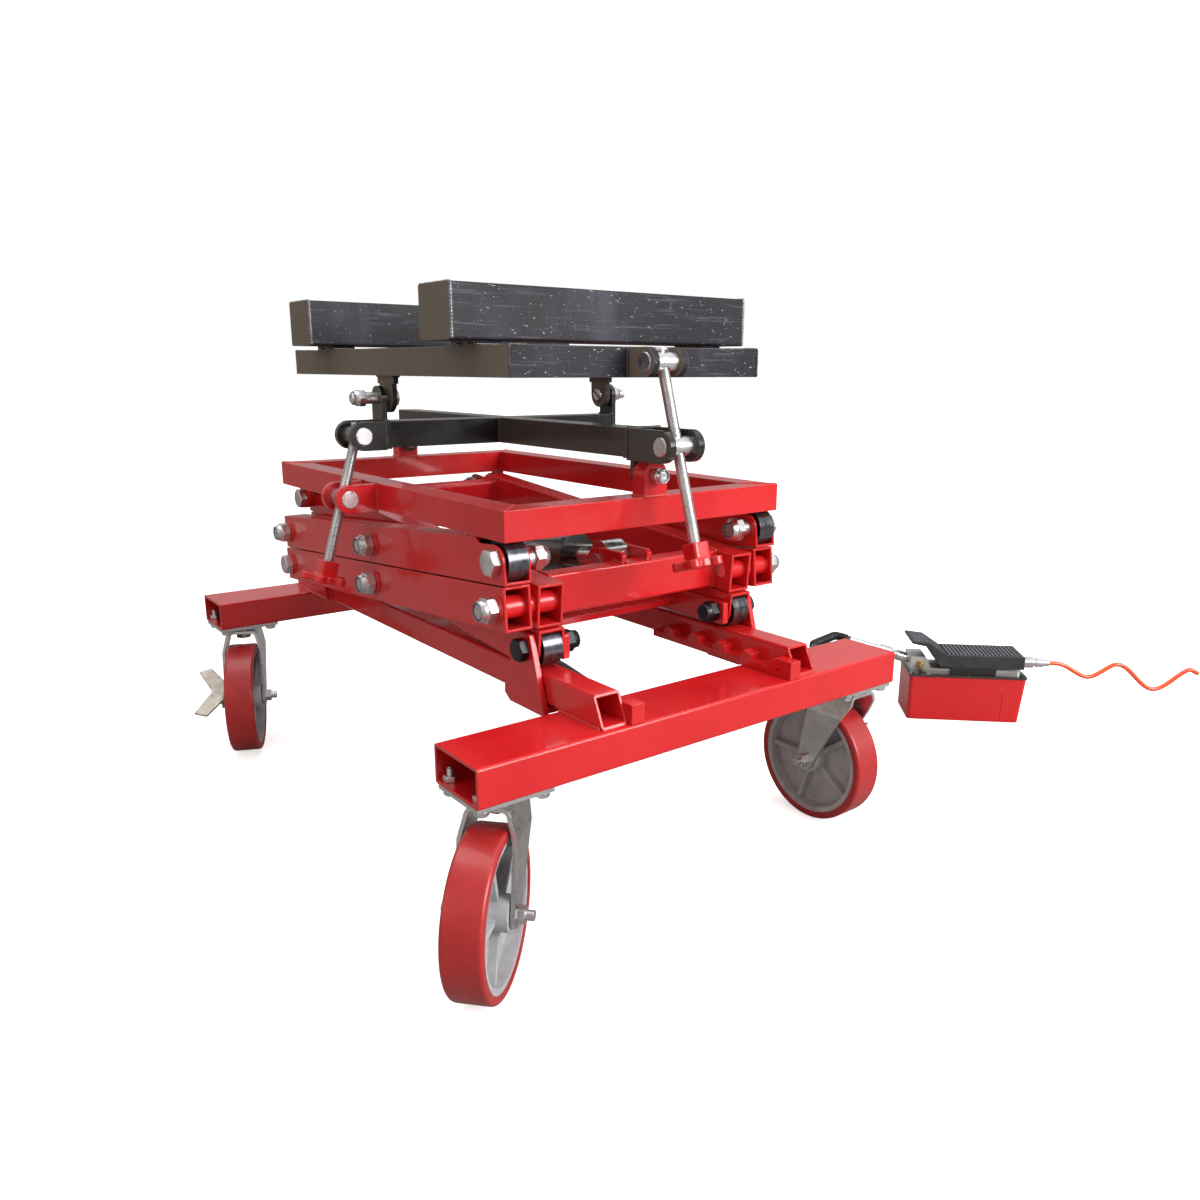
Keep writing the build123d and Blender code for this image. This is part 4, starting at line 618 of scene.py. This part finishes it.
def pivot_hardware():
    """Bolts and lock nuts of the linkage, with chamfers, domed collars and nylon rings."""
    base = Hardware("base_pivot_hardware", "base", "zinc_hardware", "base_pivot_bolts")
    lower = Hardware("lower_leg_hardware", "lower_outer", "zinc_hardware", "lower_leg_bolts")
    upper = Hardware("upper_leg_hardware", "upper_outer", "zinc_hardware", "upper_leg_bolts")
    top = Hardware("top_pivot_hardware", "top", "zinc_hardware", "top_pivot_bolts")
    carriage = Hardware("carriage_hardware", "carriage", "black_oxide", "carriage_bolts")
    for side in (-1, 1):
        through_bolt(base, side, REAR_Y, LOW_Z, side * OUTER_FACE, side * BRACKET_FACE)
        through_bolt(lower, side, CENTRE_Y, LOW_CENTRE_Z, side * INNER_FACE, side * OUTER_FACE)
        stud = OUTER_FACE - INNER_FACE + NUT_HEIGHT - 1.5
        lower.shank((side * (INNER_FACE + 0.5), FRONT_Y, MID_Z), (side, 0, 0), stud, PIVOT_RADIUS)
        lower.lock_nut((side * OUTER_FACE, FRONT_Y, MID_Z), (side, 0, 0), NUT_FLATS, NUT_HEIGHT,
                       PIVOT_RADIUS)
        for y, z in ((CENTRE_Y, HIGH_CENTRE_Z), (REAR_Y, MID_Z)):
            through_bolt(upper, side, y, z, side * INNER_FACE, side * OUTER_FACE)
        through_bolt(upper, side, FRONT_Y, HIGH_Z, side * 243, side * 189)
        upper.washer((side * 189.2, FRONT_Y, HIGH_Z), (side, 0, 0), 13, 13.8)
        through_bolt(top, side, REAR_Y, HIGH_Z, side * 211.5, side * INNER_FACE)
        through_bolt(carriage, side, FRONT_Y, LOW_Z, side * 202.5, side * 141.5, flats=28)
    for y, outward in ((-378, -1), (402, 1)):
        top.head((0, y - outward * 35.2, 574), (0, -outward, 0), 21, 8)
        top.shank((0, y - outward * 36, 574), (0, outward, 0), 53, 7)
        top.lock_nut((0, y, 574), (0, outward, 0), 21, 18, 7)
    for piece in (base, lower, upper, top, carriage):
        piece.build()


def tilt_pivot_hardware():
    """Pitch pivots: spacer and lock nut at the left, slotted head and lock nut at the right."""
    bolts = Hardware("tilt_pivot_hardware", NODES["tilt_pivot_bolts"]["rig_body"], "zinc_hardware",
                     "tilt_pivot_bolts")
    bolts.head((-198, 16, 671), (1, 0, 0), 24, 8)
    bolts.shank((-198, 16, 671), (-1, 0, 0), 66, 8)
    bolts.washer((-223, 16, 671), (-1, 0, 0), 8.8, 20)
    bolts.lock_nut((-243, 16, 671), (-1, 0, 0), 24, 18, 8)
    bolts.shank((198, 16, 671), (1, 0, 0), 55, 8)
    bolts.lock_nut((223, 16, 671), (1, 0, 0), 24, 18, 8)
    rounded = [(0, 11), (2.6, 11), (3.4, 10.6), (4, 9.8), (4, 9.6)]
    bolts.lathe((198, 16, 671), (-1, 0, 0), rounded)
    bolts.build()
    slot = Hardware("pivot_screw_slot", NODES["tilt_pivot_bolts"]["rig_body"], "black_oxide")
    path = [at(193.95, 16 + 9.5 * math.cos(0.6) * k, 671 + 9.5 * math.sin(0.6) * k) for k in (-1, 1)]
    tube_geometry(path, 0.0011, 8, slot.vertices, slot.faces)
    slot.build()


def caster_hardware():
    """Hex bolts under the caster plates, with washers, and their nuts inside the beams."""
    bolts = Hardware("caster_bolt_hardware", "base", "zinc_hardware", "caster_bolts")
    for x in (-318, 318):
        for y in (-470.5, 470.5):
            for dx in (-41, 41):
                for dy in (-35, 35):
                    spot = (x + dx, y + dy, 234)
                    bolts.washer(spot, (0, 0, -1), 9.5, 1.6)
                    bolts.hex_body((x + dx, y + dy, 232.5), (0, 0, -1), 16, 5.5)
                    bolts.hex_body((x + dx, y + dy, 244), (0, 0, 1), 16, 8, chamfer_near=True)
                    bolts.thread((x + dx, y + dy, 250), (0, 0, 1), 12, 5, 1.5)
    bolts.build()


# --- weld beads -----------------------------------------------------------------------------
LEG_LEAN = math.asin(60.5 / 740)


def leg_point(plane_y, plane_z, toward, along, across):
    """Point in the side view of a leg, from its first pivot along it and square to it."""
    return (plane_y + toward * (along * math.cos(LEG_LEAN) - across * math.sin(LEG_LEAN)),
            plane_z + along * math.sin(LEG_LEAN) + across * math.cos(LEG_LEAN))


def leg_welds():
    outer = {"lower_outer": (REAR_Y, LOW_Z, (0, 370, 740)), "upper_outer": (REAR_Y, MID_Z, (0, 370))}
    for body, (y0, z0, places) in outer.items():
        beads = Beads(f"{body}_welds", body, "red_paint")
        for side in (-1, 1):
            for place in places:
                y, z = leg_point(y0, z0, -1, place, 0)
                beads.ring_x(side * 243.4, y, z, 17.6)
        beads.build()
    members = {
        "lower_inner": (FRONT_Y, LOW_Z, ((182, -8, 40, 38), (690, 13, 40, 30))),
        "upper_inner": (FRONT_Y, MID_Z, ((26.5, 0, 25, 58), (680, 0, 40, 40))),
    }
    for body, (y0, z0, tubes) in members.items():
        beads = Beads(f"{body}_welds", body, "red_paint")
        for side in (-1, 1):
            for along, across, depth, height in tubes:
                y, z = leg_point(y0, z0, 1, along, across)
                beads.frame_x(side * 152.6, y, z, depth, height, LEG_LEAN)
        if body == "upper_inner":
            for side in (-1, 1):
                for face in (19, 27):
                    points = [leg_point(y0, z0, 1, along, 29.5) for along in (15, 38)]
                    beads.run(*[(side * face, y, z) for y, z in points], size=2)
        beads.build()


def base_welds():
    beads = Beads("base_frame_welds", "base", "red_paint")
    for side in (-1, 1):
        for y0, y1 in ((-507, -420.5), (420.5, 504)):
            for edge in (153, 193):
                beads.run((side * edge, y0, 290.4), (side * edge, y1, 290.4), size=2.6)
        beads.run((side * 194, 330, 291), (side * 194, 424, 291), size=2.6)
        beads.run((side * 202.5, 332, 293.5), (side * 202.5, 422, 293.5), size=2.2)
        beads.run((side * 153, -420.2, 290.6), (side * 193, -420.2, 290.6), size=2.6)
        beads.run((side * 153, 420.2, 290.6), (side * 193, 420.2, 290.6), size=2.6)
        beads.frame_x(side * 152.6, 430, 310, 40, 40)
        for y in (-495, -259 + 12, -316 + 12, -373 + 12, -430 + 12):
            beads.run((side * 133, y, 300.3), (side * 153, y, 300.3), size=1.6)
        beads.run((side * 152.4, -221, 299.4), (side * 152.4, -487, 299.4), size=1.8)
    beads.build()


def top_frame_welds():
    beads = Beads("top_frame_welds", "top", "red_paint")
    for sx in (-1, 1):
        for y_edge, y_in in ((-378, -338), (402, 362)):
            beads.run((sx * 242, y_edge * 0.998, 546.2), (sx * 203, y_in, 546.2), size=1.3)
            beads.run((sx * 203, y_in, 545), (sx * 203, y_in, 507), size=1.8)
    for y0, y1 in ((-378, -352), (376, 402)):
        for x in (-20.4, 20.4):
            beads.run((x, y0 + 1, 546.4), (x, y1 - 1, 546.4), size=2.4)
        for y in (y0, y1):
            beads.run((-20.4, y, 546.4), (20.4, y, 546.4), size=2.4)
    for y in (-14, -4, 36, 46):
        beads.run((-243.6, y, 544), (-243.6, y, 508), size=2)
    for y in (-9, 41):
        beads.run((-243.6, y - 5, 545.6), (-243.6, y + 5, 545.6), size=2)
    for side in (-1, 1):
        for edge in (203.5, 211.5):
            beads.run((side * edge, 367, 505.6), (side * edge, 402, 505.6), size=1.8)
    beads.build()


def cross_welds():
    beads = Beads("tilt_cross_welds", "cross", "black_paint")
    for x in (-20, 20):
        for y in (-4, 36):
            beads.run((x, y, 636), (x, y, 598), size=2.2)
    for side in (-1, 1):
        for y in (-4, 36):
            beads.run((side * 215, y, 636), (side * 215, y, 598), size=2.6)
        beads.run((side * 215, -3, 637.4), (side * 215, 35, 637.4), size=2.4)
    for y in (-13.6, 45.6):
        beads.run((-223.6, y, 634), (-223.6, y, 597), size=2.6)
    for y in (-4.6, 36.6):
        beads.run((-223.6, y, 634), (-223.6, y, 600), size=2.4)
    for x in (-30, 30):
        beads.run((x, -351.4, 636), (x, -351.4, 598), size=2.6)
    for x in (-20, 20):
        beads.run((x, -343, 637), (x, -343, 599), size=2.6)
    beads.run((-29, -351, 637.6), (29, -351, 637.6), size=2.2)
    beads.build()


TUBE_BOTTOM, TUBE_HALF, CAP_THICKNESS = 750, 39.8, 3
LOAD_TUBE_Y = (-241.5, 225.5)


def table_welds():
    beads = Beads("table_frame_welds", "table", "black_paint")
    for sx in (-1, 1):
        for y_edge, y_in in ((-352, -312), (363, 323)):
            beads.run((sx * 215, y_edge, 744.2), (sx * 176, y_in, 744.2), size=1.3)
        beads.run((sx * 214.5, -352.3, 743), (sx * 214.5, -352.3, 705), size=1.8)
        beads.run((sx * 214.5, -351.5, 744), (sx * 190, -351.5, 744), size=1.8)
        for y in (-241.5, 225.5):
            for edge in (-30, 30):
                beads.run((sx * 178, y + edge, 745.6), (sx * 214, y + edge, 745.6), size=2.4)
            for edge in (-15, 15):
                beads.run((sx * 216.6, y + edge - 12, 745), (sx * 216.6, y + edge, 746), size=1.8)
        beads.run((sx * 207, -12, 703.4), (sx * 207, 44, 703.4), size=2.4)
        beads.run((sx * 198.6, -12, 703.4), (sx * 198.6, 44, 703.4), size=2.4)
    for x in (-30.4, -19.6, 19.6, 30.4):
        beads.run((x, -352.6, 742), (x, -352.6, 706), size=2.6)
    beads.build()
    load_tube_welds()


def load_tube_welds():
    """Bright beads round the load tubes where their end caps meet them."""
    low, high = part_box("load_tubes")
    caps = Beads("load_tube_welds", NODES["load_tubes"]["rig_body"], "black_paint")
    left, right = low[0] * 1000 + LAYOUT[0], high[0] * 1000 + LAYOUT[0]
    bottom, top = TUBE_BOTTOM + 1.5, high[2] * 1000 - 1.2
    for y in LOAD_TUBE_Y:
        for end, inward in ((left, 1), (right, -1)):
            x = end + inward * CAP_THICKNESS
            near, far = y - TUBE_HALF, y + TUBE_HALF
            caps.run((x, near, bottom), (x, near, top), (x, far, top), (x, far, bottom), size=2.6)
    caps.build(plain("bright_bead", (0.1, 0.1, 0.115), (0.22, 0.22, 0.26), 0.14, 0.3, scale=160.0, coat=0.8))


def hose_spring():
    """Coiled wire guard round the hose, in place of the CAD's plain sleeve."""
    turn = math.radians(-44)
    rise = math.radians(17)
    pump_x = Vector((math.cos(turn), math.sin(turn), 0))
    port = at(931, -292, 117) + pump_x * -0.110 + Vector((-pump_x.y, pump_x.x, 0)) * -0.004
    out = pump_x * -math.cos(rise) + Vector((0, 0, math.sin(rise)))
    before, corner = at(400, -335, 240), at(575, -190, 190)
    start = corner + (before - corner) * 0.3
    path = resample(fillet_path([start, corner, port + out * 0.160, port + out * 0.133], 0.040), 0.0004)
    coil = []
    for index, (point, (_, u, v)) in enumerate(zip(path, frames_along(path))):
        angle = 2 * math.pi * index * 0.0004 / 0.0052
        coil.append(point + (u * math.cos(angle) + v * math.sin(angle)) * 0.0078)
    vertices, faces = [], []
    tube_geometry(coil, 0.0012, 6, vertices, faces)
    made = add_mesh("hose_guard_coil", vertices, faces, "black_oxide", "base")
    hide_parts("hose_guard")


PUMP_CENTRE, PUMP_TURN = (931, -292), math.radians(-44)
PUMP_TOP = 98
PUMP_HALF_DEPTH = 56
TREADLE_TOP = PUMP_TOP + 40
TREADLE_HALF, TREADLE_PITCH, TREADLE_GROOVE = 45, 8, 3.5
TREADLE_RIBS, TREADLE_MIDDLE = 18, 36


def pump_point(along, across, z):
    """Point given along the foot pump, across it and above the ground, in millimetres."""
    return at(PUMP_CENTRE[0] + along * math.cos(PUMP_TURN) - across * math.sin(PUMP_TURN),
              PUMP_CENTRE[1] + along * math.sin(PUMP_TURN) + across * math.cos(PUMP_TURN), z)


def pump_details():
    """Rib tops of the treadle and toe, painted lighter grey as wear and as a painted highlight, the tank's
    pressed line, and the cover's screws.
    """
    vertices, faces = [], []
    for index in range(TREADLE_RIBS):
        along = TREADLE_MIDDLE + (index - (TREADLE_RIBS - 1) / 2) * TREADLE_PITCH
        ends = [pump_point(along, across, TREADLE_TOP) for across in (-TREADLE_HALF + 7.5, TREADLE_HALF - 7.5)]
        tube_geometry(resample(ends, 0.004), (TREADLE_PITCH - TREADLE_GROOVE) / 2000, 8, vertices, faces)
    for index in range(5):
        share = 0.14 + 0.17 * index
        along, z = -74 - 36 * share, PUMP_TOP + 64 + 4 * share
        ends = [pump_point(along, across, z) for across in (-TREADLE_HALF + 4, TREADLE_HALF - 4)]
        tube_geometry(resample(ends, 0.004), 0.0014, 8, vertices, faces)
    # Rib tops painted lighter grey than the black treadle: partly worn paint, partly a painted highlight on
    # the tops against the dark grooves.
    add_mesh("treadle_rib_tops", vertices, faces, "black_shell", NODES["pump_treadle"]["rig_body"],
             look=plain("rib_tops_worn_and_painted_highlight", (0.11, 0.11, 0.13), (0.17, 0.17, 0.2), 0.35, 0.5))
    vertices, faces = [], []
    corner = [(76, 8), (78, 62), (73, 68), (62, 70)]
    path = resample([pump_point(along, -PUMP_HALF_DEPTH, z) for along, z in corner], 0.002)
    tube_geometry(path, 0.0011, 8, vertices, faces)
    add_mesh("reservoir_pressed_line", vertices, faces, "red_paint", "base")
    screws = Hardware("cover_screws", "base", "black_oxide")
    for along in (-105, 5, 113):
        for across in (-50, 50):
            spot = pump_point(along, across, PUMP_TOP)
            centre = (spot.x * 1000 + LAYOUT[0], spot.y * 1000 + LAYOUT[1], PUMP_TOP)
            screws.lathe(centre, (0, 0, 1), [(-0.5, 3.6), (1.4, 3.6), (2.2, 2.8), (2.4, 1.6), (1.2, 1.2)])
    screws.build()


NYLON = plain("nylon_insert", (0.1, 0.13, 0.22), (0.06, 0.08, 0.16), 0.35, 0.5)
tilt_screws()
pivot_hardware()
tilt_pivot_hardware()
caster_hardware()
leg_welds()
base_welds()
top_frame_welds()
cross_welds()
table_welds()
hose_spring()
pump_details()


# --- floor, light and camera ----------------------------------------------------------------
def floor():
    mesh = bpy.data.meshes.new("floor")
    shape = bmesh.new()
    bmesh.ops.create_grid(shape, x_segments=1, y_segments=1, size=30)
    shape.to_mesh(mesh)
    shape.free()
    made = bpy.data.objects.new("floor", mesh)
    bpy.context.collection.objects.link(made)
    made.location = (0, 0, -0.0005)
    made.data.materials.append(floor_look())


def floor_look():
    """Nearly white to the eye, and darker as a source of bounced light."""
    s = Shader("studio_floor")
    seen = s.tree.nodes.new("ShaderNodeLightPath").outputs["Is Camera Ray"]
    grain = s.mix(s.noise(2.0, 2.0), (0.9, 0.9, 0.9, 1), (0.93, 0.93, 0.93, 1))
    shade = s.mix(seen, (0.3, 0.29, 0.28, 1), grain)
    glow = s.math("MULTIPLY", seen, 0.62)
    s.bsdf.inputs["Emission Color"].default_value = (1, 1, 1, 1)
    s.feed(s.bsdf.inputs["Emission Strength"], glow)
    return s.finish(shade, 0.9, bevel=0, specular=0.0)


def area_light(name, place, target, size, power, color=(1, 1, 1)):
    data = bpy.data.lights.new(name, "AREA")
    data.shape = "RECTANGLE"
    data.size, data.size_y = size
    data.energy = power
    data.color = color
    light = bpy.data.objects.new(name, data)
    light.location = place
    light.rotation_euler = (Vector(target) - Vector(place)).to_track_quat("-Z", "Y").to_euler()
    bpy.context.collection.objects.link(light)


def studio():
    """White to the camera; to surfaces bright from above, warm from the left and dim from below."""
    world = bpy.data.worlds.new("studio")
    world.use_nodes = True
    tree = world.node_tree
    background = tree.nodes["Background"]
    coords = tree.nodes.new("ShaderNodeTexCoord").outputs["Generated"]
    split = tree.nodes.new("ShaderNodeSeparateXYZ")
    tree.links.new(coords, split.inputs[0])

    def ranged(socket, low, high):
        made = tree.nodes.new("ShaderNodeMapRange")
        tree.links.new(socket, made.inputs["Value"])
        made.inputs["From Min"].default_value = low
        made.inputs["From Max"].default_value = high
        return made.outputs[0]

    def mixed(factor, a, b):
        made = tree.nodes.new("ShaderNodeMix")
        made.data_type = "RGBA"
        tree.links.new(factor, made.inputs[0])
        for socket, value in ((made.inputs[6], a), (made.inputs[7], b)):
            if isinstance(value, bpy.types.NodeSocket):
                tree.links.new(value, socket)
            else:
                socket.default_value = value
        return made.outputs[2]

    sky = mixed(ranged(split.outputs["Z"], -0.15, 0.8), (0.12, 0.11, 0.1, 1), (1.0, 1.0, 1.02, 1))
    warm = mixed(ranged(split.outputs["X"], 0.1, -0.8), sky, (0.5, 0.44, 0.37, 1))
    seen = tree.nodes.new("ShaderNodeLightPath").outputs["Is Camera Ray"]
    tree.links.new(mixed(seen, warm, (1.0, 1.0, 1.0, 1)), background.inputs[0])
    background.inputs[1].default_value = 1.0
    bpy.context.scene.world = world
    bpy.context.scene.view_settings.view_transform = "Standard"
    middle = (-0.4, 0, 0.4)
    area_light("key", (0.8, -3.4, 1.7), middle, (2.4, 1.6), 140, (1.0, 0.98, 0.97))
    area_light("top", (-0.4, 0.2, 3.4), middle, (2.2, 2.2), 36)
    area_light("left_fill", (-3.6, -0.4, 1.6), middle, (1.8, 1.8), 14, (1.0, 0.93, 0.85))


CAMERA_PLACE = (-1.282, -1.3693, 0.7157)
CAMERA_YAW, CAMERA_PITCH, CAMERA_ROLL = 37.948, -13.826, 0.23
CAMERA_LENS, CAMERA_SHIFT = 28.672, (-0.01176, 0.00307)


def camera():
    """Three-quarter view from the front left, just below the height of the load bars."""
    yaw, pitch, roll = math.radians(CAMERA_YAW), math.radians(CAMERA_PITCH), math.radians(CAMERA_ROLL)
    forward = Vector((math.sin(yaw) * math.cos(pitch), math.cos(yaw) * math.cos(pitch), math.sin(pitch)))
    right = Vector((math.cos(yaw), -math.sin(yaw), 0))
    up = right.cross(forward)
    right, up = (right * math.cos(roll) + up * math.sin(roll), up * math.cos(roll) - right * math.sin(roll))
    data = bpy.data.cameras.new("camera")
    data.sensor_width = 36
    data.lens = CAMERA_LENS
    data.shift_x, data.shift_y = CAMERA_SHIFT
    made = bpy.data.objects.new("camera", data)
    basis = Matrix((right, up, -forward)).transposed().to_4x4()
    made.matrix_world = Matrix.Translation(CAMERA_PLACE) @ basis
    bpy.context.collection.objects.link(made)
    bpy.context.scene.camera = made


floor()
studio()
camera()
